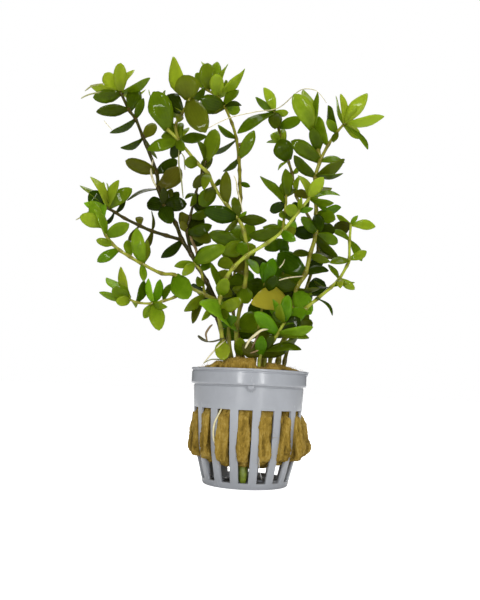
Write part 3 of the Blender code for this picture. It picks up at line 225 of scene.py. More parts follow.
                   (8, 20.5, 148.5, 2.4, .3, -3), (10, 9.8, 151.5, 1.4, .2, -3),
                   (10, 10, 166.4, 10, .55, -5), (11, 3.8, 164.8, 1.4, .3, -4),
                   (11, 7.4, 169.9, 2.9, .25, 4), (11, 8.8, 172, 8.1, .25, 5),
                   (11, 12.8, 170.6, 2.4, .25, -4), (13, 1.5, 193.7, 5, .12, -3),
                   (13, -3.1, 187.8, 3.8, .35, 3), (13, 14.2, 180.8, 3.8, .3, -2),
                   (13, 7.8, 171.7, 6.9, .65, -6), (13, -10.7, 168.7, 4.8, .5, -3),
                   (12, 20.5, 177.7, 5.7, .45, 4), (7, 17, 133, 4.8, .8, 8), (5, 36, 128, 5.7, .8, 9),
                   (3, 36, 112, 6.7, .8, 10), (2, 16, 86, 11, .8, 9), (2, 34, 96, 9, .8, 9),
                   (1, 26, 82, 9, .8, 9)],
    },
    "far_right_shoot": {
        "from": None, "radius": 1,
        "stem": [(9.8, 58.8, -4), (12.8, 62.5, -5), (17.5, 69.5, -6), (22, 77, -6), (25.5, 82.5, -6),
                 (31.5, 88, -4), (37.5, 93.5, -1), (41.5, 98, 3), (45, 104.5, 7), (46, 107.5, 9),
                 (46, 116.5, 13), (46.5, 125.5, 17)],
        "leaves": [(5, 39, 80.5, 1.4, .6, -4), (5, 31.5, 88.6, 2.4, .4, -3), (6, 29.3, 96.3, 1.4, .7, -5),
                   (7, 42.1, 93.7, 3.8, .2, -6), (6, 48.6, 96.1, 1.9, .25, 5),
                   (7, 36.1, 104.7, 2.4, .25, 4), (7, 49, 93, 4, .15, 4), (9, 36.8, 105.9, 3.8, .4, -4),
                   (9, 54.5, 112.1, 4.3, .18, 3), (10, 37.4, 121.5, 2.9, .3, 3),
                   (11, 58.7, 124.6, 4.8, .1, 3), (11, 49.8, 129.5, 2.4, .2, -4),
                   (11, 39.8, 129.6, 2.9, .2, 3), (11, 38.3, 121.8, 7.1, .85, 6), (10, 52, 107, 4, .3, 6)],
    },
    "low_front_shoot": {
        "from": None, "radius": 1,
        "stem": [(7, 57, -12), (8, 61, -13), (11, 67, -15), (13, 70.5, -16), (16, 76, -17)],
        "leaves": [(3, 1.1, 80.1, 7.1, .12, -6), (3, 30, 75.5, 7.6, .15, -5), (3, 28, 69.5, 4.8, .4, -3),
                   (4, 17.1, 89, 6.2, .25, -3), (4, 9.4, 86.7, 5.2, .2, 4), (4, 26, 81.5, 7, .3, 4),
                   (4, 13.4, 84.5, 4.3, .2, -8), (3, 23, 78, 8, .85, 7), (4, 10, 80.5, 5, .5, -5),
                   (2, 2, 70, 8, .6, 4)],
    },
    "basal_sprout": {
        "from": None, "radius": 0.9,
        "stem": [(4.5, 57, -18), (5, 59.5, -18.5), (6, 62.5, -19)],
        "leaves": [(1, 5.3, 68.7, 5.7, .25, -4), (1, 23.5, 69, 5.7, .6, 3), (2, 24, 64.5, 3.8, .5, -3),
                   (1, -4, 64, 8, .9, -3), (2, 11, 69, 4.8, .7, -5)],
    },
    "small_centre_shoot": {
        "from": None, "radius": 0.8,
        "stem": [(2.5, 58, -6), (3.5, 71.5, -9), (5, 83.5, -12), (6, 91, -13), (5.5, 94.5, -13)],
        "leaves": [(4, 9.2, 106.8, 6.2, .3, -3), (4, 4.4, 104.6, 5.2, .25, 3), (3, 12, 98, 6, .7, -5)],
    },
    "left_reaching_shoot": {
        "from": None, "radius": 1.05,
        "stem": [(-9, 58, -6), (-10.5, 67, -7), (-11, 75.5, -8), (-14.5, 81.5, -9), (-17.5, 85, -10),
                 (-23, 87.5, -12), (-31.5, 91.4, -14), (-38, 96.5, -15), (-44.4, 97, -16),
                 (-54.2, 101.3, -18), (-60.2, 104.5, -19), (-65.6, 107.6, -20), (-69.4, 110.7, -21),
                 (-72.6, 114.7, -22), (-75.5, 120.1, -22)],
        "leaves": [(9, -58, 118.9, 7, .25, -3), (9, -52.5, 113.2, 3.3, .3, 4), (9, -53, 92.5, 3.6, .3, -3),
                   (10, -62.2, 112.3, 4.8, .3, 3), (11, -76.1, 101.3, 5.2, .3, -3),
                   (12, -77.2, 112.2, 4.3, .3, -5), (13, -61.8, 120.8, 6.7, .25, -3),
                   (13, -79, 128, 4, .25, 5), (14, -86.1, 123.8, 7, .15, -3), (14, -81, 131.5, 6, .2, 3),
                   (14, -74, 130, 4, .2, -3), (7, -30.9, 85, 10.5, .2, -5), (5, -32.6, 79, 5, .35, -5),
                   (5, -27.8, 73.2, 4, .7, 3), (4, -23.6, 73.5, 4, .3, -4), (5, -28.5, 81, 5, .7, 5)],
    },
    "left_reaching_twig": {
        "from": ("left_reaching_shoot", 5), "radius": 0.7,
        "stem": [(-23, 87.5, -12), (-24.5, 95, -12), (-25.4, 99, -13), (-29.5, 103.3, -14)],
        "leaves": [(3, -38.6, 100.9, 3.8, .3, -2), (3, -34, 96.6, 4.8, .15, -5), (3, -22, 112, 4, .65, 3),
                   (2, -21, 104, 4.5, .35, 3), (3, -14, 111.5, 8, .25, -4), (1, -27, 92, 5.5, .4, -6)],
    },
    "low_left_branch": {
        "from": ("left_reaching_shoot", 6), "radius": 0.75,
        "stem": [(-31.5, 91.4, -14), (-37, 86, -17), (-42.6, 83.7, -19), (-48, 82.2, -21),
                 (-55, 82.3, -23), (-60, 84, -25)],
        "leaves": [(5, -65.3, 99.3, 3.8, .12, 2), (5, -71.4, 92.3, 4, .2, 4),
                   (5, -74.1, 86.4, 3.8, .25, -2), (5, -68, 89, 8, .3, -4), (5, -66.1, 82.1, 5.2, .15, -5),
                   (3, -44, 69.3, 7.6, .15, -5), (3, -51.6, 75, 4.3, .3, 3), (3, -40.8, 80.7, 3.8, .2, -5),
                   (4, -56.8, 81.1, 3.3, .2, 5), (4, -52.5, 93.2, 4.3, .55, 3),
                   (3, -50.5, 94.3, 3.5, 0, -3), (3, -45, 94, 4.5, .25, 4), (2, -39.5, 92, 3.3, .5, 3)],
    },
    "back_left_shoot": {
        "from": None, "radius": 1,
        "stem": [(-3, 57, 14), (-6, 68, 18), (-9, 80, 22), (-10, 92, 25), (-8, 104, 28), (-6, 114, 30)],
        "leaves": [(1, -13, 72, 9, .6, 9), (1, 4, 74, 9, .6, 6), (2, -14, 88, 9, .5, 10),
                   (3, -17, 99, 9, .5, 3), (3, 0, 98, 9, .5, 9), (4, -14, 112, 9, .4, 8),
                   (4, 0, 112, 8, .4, 6), (5, -9, 123, 8, .3, 6), (5, -2, 124, 7, .3, -3)],
    },
    "back_right_shoot": {
        "from": None, "radius": 1,
        "stem": [(6, 57, 16), (9, 70, 21), (12, 82, 26), (14, 94, 30), (15, 106, 33), (16, 116, 35)],
        "leaves": [(1, 16, 74, 9, .6, 9), (1, 2, 77, 9, .6, 6), (2, 20, 88, 9, .5, 9),
                   (3, 22, 102, 9, .5, 6), (3, 8, 106, 9, .5, 9), (5, 19, 126, 5.7, .3, 6),
                   (5, 11, 126, 4.8, .3, -3), (5, 5.1, 111, 6.2, .5, 4), (4, 14.2, 116.4, 4.8, .5, -3)],
    },
}

# How green each stem is, from 0, a young green one, to 1, an old brown one
STEM_TONES = {
    "tall_left_shoot": 0.95, "left_side_branch": 0.95, "dark_inner_branch": 0.95, "middle_shoot": 0.2,
    "middle_top_branch": 0.45, "centre_tall_branch": 0.5, "bright_front_shoot": 0.16,
    "front_side_twig": 0.3, "thick_right_shoot": 0.42, "right_top_branch": 0.4, "rear_right_shoot": 0.65,
    "far_right_shoot": 0.15, "low_front_shoot": 0.1, "basal_sprout": 0.15, "small_centre_shoot": 0.3,
    "left_reaching_shoot": 0.3, "left_reaching_twig": 0.25, "low_left_branch": 0.25,
    "back_left_shoot": 0.6, "back_right_shoot": 0.6,
}

# Blades that lie or look another way than planned: tip (width, height, depth), width, tone and warmth,
# where a warmth under 0 is a fresher green
BLADE_CHANGES = {
    ("middle_shoot", 24): ((5.5, 92.0, 3.0), 11.0, 0.6, 0.0),
    ("middle_shoot", 25): ((-22.9, 84.9, -30.0), 6.2, 0.12, -0.5),
    ("left_reaching_shoot", 14): ((-24.3, 75.0, -15.0), 3.0, 0.1, 0.0),
    ("thick_right_shoot", 33): ((0.2, 84.6, -22.0), 11.5, 0.12, 0.8),
    ("low_front_shoot", 1): ((29.5, 74.8, -20.0), 5.6, 0.1, -0.4),
    ("low_front_shoot", 0): (None, None, 0.13, -0.8),
    ("low_front_shoot", 3): (None, None, 0.18, -0.7),
    ("low_front_shoot", 4): (None, None, 0.15, -0.7),
    ("basal_sprout", 0): (None, None, 0.25, -0.8),
    ("small_centre_shoot", 0): (None, None, 0.3, -0.8),
    ("small_centre_shoot", 1): (None, None, 0.25, -0.8),
    ("bright_front_shoot", 20): (None, None, 0.03, 0.12),
    ("bright_front_shoot", 14): (None, None, 0.1, 0.0),
    ("back_right_shoot", 1): ((1.0, 85.5, 27.0), 11.0, 0.62, 0.0),
    ("back_right_shoot", 2): ((2.5, 94.0, 30.0), 11.0, 0.62, 0.0),
    ("middle_top_branch", 0): (None, None, 0.5, 0.16),
    ("middle_top_branch", 1): (None, None, 0.58, 0.16),
}

# The flat blade that is laid on each leaf
BLADE_COLUMNS = 4
BLADE_ROWS = (0.0, 0.13, 0.28, 0.43, 0.58, 0.72, 0.84, 0.94, 1.0)
BLADE_TIP_HALF_WIDTH = 0.2
BLADE_TIP_ROUNDING = 0.03
BLADE_RIM_SHARE = 0.45
BLADE_THICKNESS = 0.48 * MM
BLADE_THINNING = 0.35
SLENDER_SHARE = 0.42

# How each leaf strays from the plan, in the order of drawing: a range, or a middle and a spread
LEAF_HABITS = (
    ("cup", "uniform", 0.02, 0.16), ("twist", "uniform", -0.35, 0.35), ("wave", "uniform", 0.0, 0.05),
    ("phase", "uniform", 0.0, 2.0 * math.pi), ("sickle", "uniform", -0.05, 0.05),
    ("drift", "gauss", 0.05, 0.2), ("uneven", "uniform", -0.1, 0.1), ("curl", "gauss", 0.0, 0.3),
    ("more_bow", "uniform", -0.03, 0.05), ("more_tone", "uniform", -0.05, 0.05),
)
STRONGEST_CURL = 0.6
CURL_START = 0.6
TWIST_START = 0.35
CUP_START = 0.04
CUP_STRETCH = 0.92
RIM_WAVES = 9.0
WAVE_LAG = 1.6
SCALLOP = 0.04
SCALLOP_WAVES = 10.0

# Painted light on the leaves at the top, the right and the left, and painted shade inside, each as a start
# and a span, and by how much; then how a blade's tone varies
LIT_HEIGHT = (125.0 * MM, 50.0 * MM)
LIT_RIGHT = (5.0 * MM, 30.0 * MM)
LIT_LEFT = (30.0 * MM, 20.0 * MM)
LIGHT_AT_TOP = 0.08
LIGHT_AT_TOP_RIGHT = 0.1
LIGHT_AT_LEFT = 0.05
SHADE_INSIDE = 0.02
TONE_SHIFT = 0.07
YOUNGER_TIP = 0.1
YOUNGER_RIM = 0.06

# Where leaves are old, how much they may yellow there and elsewhere, and where they may be fresh green
OLD_LEFT = -35.0 * MM
OLD_HEIGHT = 100.0 * MM
OLD_WARMTH = 0.6
YOUNG_WARMTH = 0.4
MOST_WARMTH = 0.25
MOST_FRESH = 0.6
FRESH_GAIN = 2.5
FRESH_HEIGHT = 160.0 * MM
FRESH_SPAN = 30.0 * MM

# Stem skin
STEM_SIDES = 10
STEM_STEP = 1.6 * MM
STEM_THINNEST = 0.92
NODE_SWELLING = 0.34
NODE_REACH = 1.5 * MM
STEM_TOP_SHARE = 0.68
STEM_TONE_SHIFT = 0.06
GREEN_STEM = 0.2
YOUNGER_GREEN_TOP = 0.3
YOUNGER_TOP = 0.12

# Colours: ramps from young to old, or from dark to light, as (place, colour)
LEAF_COLOURS = ((0.0, (0.262, 0.330, 0.022)), (0.25, (0.114, 0.180, 0.0035)), (0.5, (0.054, 0.088, 0.001)),
                (0.75, (0.025, 0.043, 0.0006)), (1.0, (0.015, 0.021, 0.0005)))
YELLOWED_COLOUR = (0.350, 0.290, 0.030, 1.0)
FRESH_TINT = (0.58, 1.02, 0.6, 1.0)
VEIN_COLOUR = (0.320, 0.400, 0.050, 1.0)
UNDERSIDE_COLOUR = (0.230, 0.310, 0.020, 1.0)
SHINE_THROUGH_TINT = (2.4, 2.4, 0.4, 1.0)
STEM_COLOURS = ((0.0, (0.290, 0.340, 0.035)), (0.25, (0.260, 0.265, 0.030)), (0.5, (0.170, 0.165, 0.016)),
                (0.75, (0.062, 0.058, 0.007)), (1.0, (0.023, 0.020, 0.004)))
STEM_NODE_COLOUR = (0.060, 0.038, 0.008, 1.0)
POT_COLOURS = ((0.0, (0.242, 0.252, 0.272)), (1.0, (0.312, 0.326, 0.350)))
WOOL_COLOURS = ((0.0, (0.088, 0.055, 0.007)), (0.45, (0.255, 0.165, 0.026)), (1.0, (0.480, 0.355, 0.100)))

# Net pot, as in the solid
POT_HEIGHT = 52.5 * MM
LIP_RADIUS = 27.2 * MM
LIP_THICKNESS = 0.9 * MM
BAND_RADIUS = 27.0 * MM
BAND_BOTTOM = 45.2 * MM
SHOULDER_RADIUS = 25.9 * MM
SLOT_TOP = 34.5 * MM
SLOT_TOP_RADIUS = 25.2 * MM
SLAT_BELLY_HEIGHT = 17.0 * MM
SLAT_BELLY_RADIUS = 23.6 * MM
SLAT_BULGE = 0.45 * MM
SLOT_BOTTOM = 2.6 * MM
FOOT_RADIUS = 19.9 * MM
FLOOR_THICKNESS = 1.5 * MM
POT_WALL = 1.1 * MM
CREASE_DEPTH = 0.35 * MM
SLAT_COUNT = 16
SLAT_WIDTH = 3.7 * MM
FIRST_SLAT = math.radians(-80.9)
SLAT_COLUMNS = 4
SLOT_COLUMNS = 4
# Heights of the rings below the band, in millimetres
WALL_HEIGHTS = (42.0, 39.0, 36.5, 34.5, 34.0, 31.0, 28.0, 25.0, 22.0, 19.0, 16.0, 13.0, 10.0, 7.0, 4.5, 3.1,
                2.6, 1.5, 0.6, 0.0)
SHARP_EDGE = math.radians(50.0)
SMOOTH_EDGE = math.radians(35.0)
FLOOR_SPOKES = 8
FLOOR_COLUMNS = 16
# Radii of the floor's rings and of its openings, outer and inner, in millimetres
FLOOR_RINGS = (19.6, 18.4, 15.9, 15.3, 13.0, 12.4, 10.4, 8.6, 6.0, 4.2, 1.5)
FLOOR_OPENINGS = ((18.4, 15.9), (15.3, 13.0), (12.4, 10.4), (8.6, 6.0))

# The ear on the lip, and the mark of the mould's gate under the band
EAR_ANGLE = math.radians(-4.0)
EAR_SIZE = (2.5 * MM, 5.0 * MM, 1.3 * MM)
EAR_RADIUS = LIP_RADIUS - 0.35 * MM
EAR_HEIGHT = POT_HEIGHT - 0.75 * MM
GATE_RADIUS = 1.5 * MM
GATE_FLATNESS = 0.16
GATE_TICKS = 7
FIRST_TICK = math.radians(-160.0)
TICK_FAN = math.radians(140.0)
GATE_ANGLE = math.radians(2.0)

# Rock wool
WOOL_VOXEL = 0.75 * MM
WOOL_RELIEF = 0.85 * MM
WOOL_TOP_RISE = 4.9 * MM
WOOL_LEDGE = 12.6 * MM
WOOL_RAGGED = 1.8 * MM
WOOL_LOBE_HEIGHT = 2.5 * MM
WOOL_LOBE_REACH = 3.0 * MM
WOOL_LOBE_SWELL = 1.3 * MM
WOOL_BOTTOM_RISE = 6.5 * MM
WOOL_BOTTOM_REACH = 10.0 * MM
WOOL_SETBACK = 0.6 * MM
LEDGE_WAVES = 3.5
TEAR_DEPTH = 0.8
TEAR_ACROSS = 300.0
TEAR_ALONG = 120.0
TEAR_SHIFT = 5.0
LEAST_RISE = 0.2
LUMP_SCALE = 170.0
LUMP_SHARE = 0.54
FOLD_SCALE = (520.0, 520.0, 90.0)
FOLD_SHIFT = (7.0, 3.0, 1.0)
FOLD_SHARE = 1.5
GRAIN_SCALE = 1400.0
GRAIN_SHARE = 0.4
# How far the torn top stands over the lip across the width, in millimetres
WOOL_TOP_LINE = ((-22.0, 0.2), (-18.5, 1.0), (-16.0, 2.6), (-12.0, 3.4), (-5.5, 4.9), (2.0, 5.0), (3.2, 0.8),
                 (7.2, 0.8), (8.2, 3.0), (15.0, 2.6), (16.5, 1.7), (24.5, 0.6))
FIBRE_COUNT = 2600
FIBRE_RADIUS = 0.055 * MM
FIBRE_LENGTH = (1.0, 3.6)
FIBRE_RISE = (0.05, 0.38)
FIBRE_SEED = 11

# The finish of each kind of thread: its material's name, and its darkest and lightest colours
THREAD_FINISHES = {
    "cream": ("cream_root", (0.42, 0.36, 0.16), (0.75, 0.70, 0.45)),
    "olive": ("olive_thread", (0.16, 0.17, 0.04), (0.34, 0.34, 0.12)),
    "brown": ("dead_brown", (0.07, 0.04, 0.01), (0.24, 0.16, 0.06)),
    "dark": ("dead_olive", (0.020, 0.020, 0.004), (0.075, 0.070, 0.012)),
    "white": ("white_thread", (0.55, 0.54, 0.50), (0.85, 0.85, 0.82)),
    "green": ("cut_stem_end", (0.075, 0.095, 0.003), (0.170, 0.230, 0.012)),
}
THREAD_SIDES = 6
THREAD_STEP = 1.2 * MM
THREAD_TAPER = 0.55

# Fine roots and dead bits: finish, radius, then points (width, height, depth) of the plan, in millimetres
THREADS = (
    ("cream", 0.28, ((-29, 169, -13.5), (-16, 176.5, 0), (-2.5, 180.5, 14), (9, 183, 19), (17.5, 191, 5),
                     (22, 193.5, -4), (28, 192.5, -11), (33, 186.5, -8))),
    ("olive", 0.4, ((-40, 164.5, -15), (-39.5, 159.5, -15.5), (-39, 151.5, -14), (-38, 148, -10),
                    (-36, 135, 1))),
    ("olive", 0.3, ((-38.5, 158, -14), (-36.7, 155.8, -13), (-35.9, 149.2, -13.5))),
    ("cream", 0.32, ((-22, 54.5, -14), (-16.5, 61.5, -17.5), (-12, 66, -14))),
    ("olive", 0.32, ((-22, 54.5, -14), (-18.5, 56.5, -13.5), (-13, 56.5, -13), (-8, 54.5, -12))),
    ("cream", 0.6, ((-2.5, 62.5, -21.5), (-0.5, 66.5, -22.5), (2.5, 69.5, -23.5), (5, 71.5, -23),
                    (8, 72, -19.5))),
    ("brown", 0.4, ((-1.5, 60, -20), (2, 61, -20.5), (4.5, 62.5, -20), (6, 65, -19))),
    ("brown", 0.4, ((0.5, 62.5, -21), (3, 68, -21), (4, 71.5, -18))),
    ("cream", 0.35, ((12.5, 96, -18.3), (17.5, 97.5, -10), (24, 98.5, 1.7))),
    ("cream", 0.3, ((15, 106.5, 5.5), (14, 104, -5), (12.5, 102, -16.3))),
    ("dark", 0.75, ((-25.2, 67.6, -14), (-22.9, 65.9, -15), (-20.3, 64.9, -16))),
    ("dark", 0.45, ((-20.6, 64.9, -16), (-17.9, 65.1, -16.5), (-15.1, 66.0, -16), (-12.2, 67.2, -14.5))),
    ("brown", 0.5, ((-20.6, 65.2, -16), (-21.5, 68.1, -16.5), (-21.0, 70.0, -16.5), (-19.6, 72.2, -16.5),
                    (-18.6, 73.2, -17.5))),
    ("cream", 0.45, ((-11.6, 147.2, -3), (-10.3, 144.5, -3), (-9.6, 140, -2.6), (-8.2, 135.5, -6),
                     (-6.3, 127, -10.5))),
    ("cream", 0.6, ((-52, 153.7, 19.8), (-52.7, 148.5, 19), (-51.4, 143.5, 17.5), (-49.2, 139.5, 17.6))),
    ("brown", 0.8, ((-31.6, 116, 5.5), (-30, 112.6, 7.5), (-28.4, 109.7, 9), (-27.7, 106.3, 10.6))),
    ("brown", 1.1, ((-10.6, 162.8, 9.5), (-9.2, 163.1, 8.6), (-6.4, 163.4, 6))),
    ("olive", 0.4, ((-80, 188.4, 23.2), (-81.8, 187.8, 22.9), (-86.8, 186.3, 22), (-90.2, 184.3, 21.5))),
    ("olive", 0.45, ((-79, 192.6, 24.5), (-80.6, 192.3, 25), (-85.1, 191.1, 27), (-88.4, 188.3, 27))),
    ("olive", 0.35, ((-81, 127, -20), (-84.7, 123.9, -20), (-88, 121.8, -19))),
    ("cream", 0.2, ((-77.6, 173.2, 24), (-77.2, 172.4, 24), (-73.4, 168.4, 24.8))),
    ("cream", 0.45, ((-12.2, 34.3, -21.5), (-12.6, 33.2, -22.5), (-15.5, 26, -20.8), (-15.2, 19.1, -20.8),
                     (-12.6, 14.6, -19.6))),
    ("white", 0.16, ((6.2, 34, -23.5), (6.1, 20, -24), (6.3, 8.6, -22.8), (7.9, 1.9, -17))),
    ("green", 2.4, ((-1.2, 11, -15), (-1.1, 6.4, -16.5), (-0.9, 2.5, -17), (-0.8, -0.4, -16.8))),
)


# Helpers


def climb(value, start, span):
    """A share that climbs from 0 at a start to 1 a span further on."""
    return min(1.0, max(0.0, (value - start) / span))


def select_only(item):
    bpy.ops.object.select_all(action="DESELECT")
    item.select_set(True)
    bpy.context.view_layer.objects.active = item


def open_edit(item):
    select_only(item)
    bpy.ops.object.mode_set(mode="EDIT")


def open_edit_all(item):
    open_edit(item)
    bpy.ops.mesh.select_all(action="SELECT")


def close_edit():
    bpy.ops.object.mode_set(mode="OBJECT")


def face_outwards(item):
    open_edit_all(item)
    bpy.ops.mesh.normals_make_consistent(inside=False)
    close_edit()


def add_modifier(item, name, kind, **settings):
    modifier = item.modifiers.new(name, kind)
    for key, value in settings.items():
        setattr(modifier, key, value)


def apply_modifiers(item):
    select_only(item)
    for modifier in list(item.modifiers):
        bpy.ops.object.modifier_apply(modifier=modifier.name)


def add_primitive(kind, scale=(1.0, 1.0, 1.0), **settings):
    """A new primitive, with its place, turn and scale in its mesh."""
    bpy.ops.object.select_all(action="DESELECT")
    getattr(bpy.ops.mesh, "primitive_%s_add" % kind)(**settings)
    item = bpy.context.object
    item.scale = scale
    bpy.ops.object.transform_apply(location=True, rotation=True, scale=True)
    return item


def add_object(name, data):
    item = bpy.data.objects.new(name, data)
    bpy.context.scene.collection.objects.link(item)
    return item


def join_all(items, name):
    """Join objects in one, which takes the name."""
    bpy.ops.object.select_all(action="DESELECT")
    for item in items:
        item.select_set(True)
    joined = items[0]
    bpy.context.view_layer.objects.active = joined
    if len(items) > 1:
        bpy.ops.object.join()
    joined.name = name
    joined.data.name = name
    return joined


def points_of(item):
    flat = np.empty(len(item.data.vertices) * 3)
    item.data.vertices.foreach_get("co", flat)
    return flat.reshape(-1, 3)


def set_points(item, points):
    item.data.vertices.foreach_set("co", np.asarray(points, dtype=np.float32).ravel())
    item.data.update()


def set_attribute(item, name, values):
    """Store one number for each point, for a material to read."""
    store = item.data.attributes.get(name) or item.data.attributes.new(name, "FLOAT", "POINT")
    store.data.foreach_set("value", np.asarray(values, dtype=np.float32))


def set_material(item, material):
    item.data.materials.clear()
    item.data.materials.append(material)


def finish_piece(item, nodes, material):
    set_material(item, material)
    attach(item, "root")
    if nodes:
        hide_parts(*nodes)


def smooth_line(points, step):
    """Points at even steps along a smooth line through the given points (Catmull-Rom)."""
    line = []
    last = len(points) - 1
    for index in range(last):
        before = points[max(index - 1, 0)]
        start, end = points[index], points[index + 1]
        after = points[min(index + 2, last)]
        count = max(2, round((end - start).length / step))
        for k in range(count):
            t = k / count
            line.append(0.5 * (2.0 * start + (end - before) * t
                               + (2.0 * before - 5.0 * start + 4.0 * end - after) * t * t
                               + (3.0 * start - before - 3.0 * end + after) * t ** 3))
    line.append(points[-1].copy())
    return line


def draw_tubes(name, lines, radius, roundness, capped):
    """Tubes as one mesh, each along a line of (point, share of the radius)."""
    curve = bpy.data.curves.new(name, "CURVE")
    curve.dimensions = "3D"
    curve.bevel_depth = radius
    curve.bevel_resolution = roundness
    curve.use_fill_caps = capped
    for line in lines:
        spline = curve.splines.new("POLY")
        spline.points.add(len(line) - 1)
        for spot, (point, share) in zip(spline.points, line):
            spot.co = (*point, 1.0)
            spot.radius = share
    select_only(add_object(name, curve))
    bpy.ops.object.convert(target="MESH")
    return bpy.context.view_layer.objects.active


def make_tube(name, points, radii, sides):
    """A tube along points as a closed mesh."""
    tube = draw_tubes(name, [list(zip(points, radii))], 1.0, sides // 2 - 2, True)
    open_edit_all(tube)
    bpy.ops.mesh.remove_doubles(threshold=0.000001)
    close_edit()
    face_outwards(tube)
    bpy.ops.object.shade_smooth()
    return tube


def seen_place(width, height, depth):
    """The place of a plan point, moved along the line from the eye to its depth."""
    on_plane = Vector((width * MM, 0.0, height * MM))
    share = (depth * MM - EYE.y) / -EYE.y
    return EYE + (on_plane - EYE) * share


# Shader nodes, their group and the materials


def set_inputs(node, values):
    """Set each input to a number or colour, or link it where an output is given."""
    for key, value in values.items():
        if isinstance(value, bpy.types.NodeSocket):
            node.id_data.links.new(value, node.inputs[key])
        else:
            node.inputs[key].default_value = value


def add_node(tree, kind, values=None, give=0, **settings):
    """Add a shader node with its settings and inputs, and give one of its outputs."""
    node = tree.nodes.new("ShaderNode" + kind)
    for key, value in settings.items():
        setattr(node, key, value)
    set_inputs(node, values or {})
    return node.outputs[give]


def read_attribute(tree, name):
    return add_node(tree, "Attribute", give="Fac", attribute_name=name)


def compute(tree, operation, *values, clamp=False):
    return add_node(tree, "Math", dict(enumerate(values)), operation=operation, use_clamp=clamp)


def mix_colours(tree, share, first, second, way="MIX"):
    return add_node(tree, "Mix", {"Factor": share, "A": first, "B": second}, "Result",
                    data_type="RGBA", blend_type=way)


def bump_skin(tree, height, strength, distance):
    return add_node(tree, "Bump", {"Height": height, "Strength": strength, "Distance": distance})


def ramp_colours(tree, share, stops):
    """A colour between stops of (place, colour), at a share of 0 to 1."""
    colour = add_node(tree, "ValToRGB", {"Fac": share}, "Color")
    ramp = colour.node.color_ramp
    ramp.elements.remove(ramp.elements[0])
    ramp.elements[0].position = stops[0][0]
    ramp.elements[0].color = (*stops[0][1], 1.0)
    for position, shade in stops[1:]:
        ramp.elements.new(position).color = (*shade, 1.0)
    return colour


def make_mottle_group():
    """Cloudy patches of 0 to 1 over the piece's own space."""
    group = bpy.data.node_groups.new("mottle", "ShaderNodeTree")
    for label, kind, default in (("Scale", "NodeSocketFloat", 200.0), ("Contrast", "NodeSocketFloat", 1.5),
                                 ("Stretch", "NodeSocketVector", (1.0, 1.0, 1.0))):
        socket = group.interface.new_socket(name=label, in_out="INPUT", socket_type=kind)
        socket.default_value = default
    group.interface.new_socket(name="Patches", in_out="OUTPUT", socket_type="NodeSocketFloat")
    entry = group.nodes.new("NodeGroupInput").outputs
    place = add_node(group, "TexCoord", give="Object")
    stretched = add_node(group, "VectorMath", {0: place, 1: entry["Stretch"]}, operation="MULTIPLY")
    clouds = add_node(group, "TexNoise", {"Vector": stretched, "Scale": entry["Scale"], "Detail": 4.0,
                                          "Roughness": 0.6}, "Fac")
    spread = compute(group, "MULTIPLY", compute(group, "SUBTRACT", clouds, 0.5), entry["Contrast"])
    patches = compute(group, "ADD", spread, 0.5, clamp=True)
    set_inputs(group.nodes.new("NodeGroupOutput"), {"Patches": patches})
    return group


def add_mottle(tree, mottle, scale, contrast, stretch=(1.0, 1.0, 1.0)):
    return add_node(tree, "Group", {"Scale": scale, "Contrast": contrast, "Stretch": stretch}, "Patches",
                    node_tree=mottle)


def start_material(name):
    material = bpy.data.materials.new(name)
    material.use_nodes = True
    tree = material.node_tree
    return material, tree, tree.nodes["Principled BSDF"]


def colour_by_darkness(tree, patches, unevenness, stops):
    """A colour by the piece's darkness, which is its age and on leaves also painted light and shade, and
    which its patches shift up or down.
    """
    shift = compute(tree, "MULTIPLY_ADD", patches, unevenness, -unevenness / 2.0)
    return ramp_colours(tree, compute(tree, "ADD", read_attribute(tree, "darkness"), shift, clamp=True), stops)


def make_leaf_material(mottle):
    """Leaf skin: green by the leaf's age and its painted light and shade, lengthwise veins, a paler
    underside and a wet gloss.
    """
    material, tree, shader = start_material("bacopa_leaf")
    skin = colour_by_darkness(tree, add_mottle(tree, mottle, 260.0, 1.6), 0.16, LEAF_COLOURS)
    warm = mix_colours(tree, read_attribute(tree, "warmth"), skin, YELLOWED_COLOUR)
    fresh = mix_colours(tree, read_attribute(tree, "fresh"), warm, FRESH_TINT, "MULTIPLY")

    # Veins run the length of the blade and meet at its foot and tip
    flat = add_node(tree, "UVMap", uv_map="blade")
    veins = add_node(tree, "TexWave", {"Vector": flat, "Scale": 2.2, "Distortion": 0.6, "Detail": 1.0},
                     "Fac", wave_type="BANDS", bands_direction="X", wave_profile="SIN")
    faint = compute(tree, "MULTIPLY", compute(tree, "POWER", veins, 5.0), 0.03)
    veined = mix_colours(tree, faint, fresh, VEIN_COLOUR)
    below = compute(tree, "MULTIPLY", read_attribute(tree, "underside"), 0.22)
    colour = mix_colours(tree, below, veined, UNDERSIDE_COLOUR)

    # Wet skin: a soft sheen below and a thin film of water with small ripples above
    place = add_node(tree, "TexCoord", give="Object")
    ripple = add_node(tree, "TexNoise", {"Vector": place, "Scale": 520.0, "Detail": 3.0}, "Fac")
    skin_bump = bump_skin(tree, ripple, 0.4, 0.00022)
    set_inputs(skin_bump.node, {"Normal": bump_skin(tree, veins, 0.12, 0.0001)})
    set_inputs(shader, {"Base Color": colour, "Normal": skin_bump, "Roughness": 0.5, "Coat Weight": 0.22,
                        "Coat Roughness": 0.06, "Specular IOR Level": 0.02})

    # Light that shines through the blade
    through = mix_colours(tree, 1.0, colour, SHINE_THROUGH_TINT, "MULTIPLY")
    glow = add_node(tree, "BsdfTranslucent", {"Color": through})
    blend = add_node(tree, "MixShader", {"Fac": 0.42, 1: shader.outputs["BSDF"], 2: glow})
    set_inputs(tree.nodes["Material Output"], {"Surface": blend})
    return material


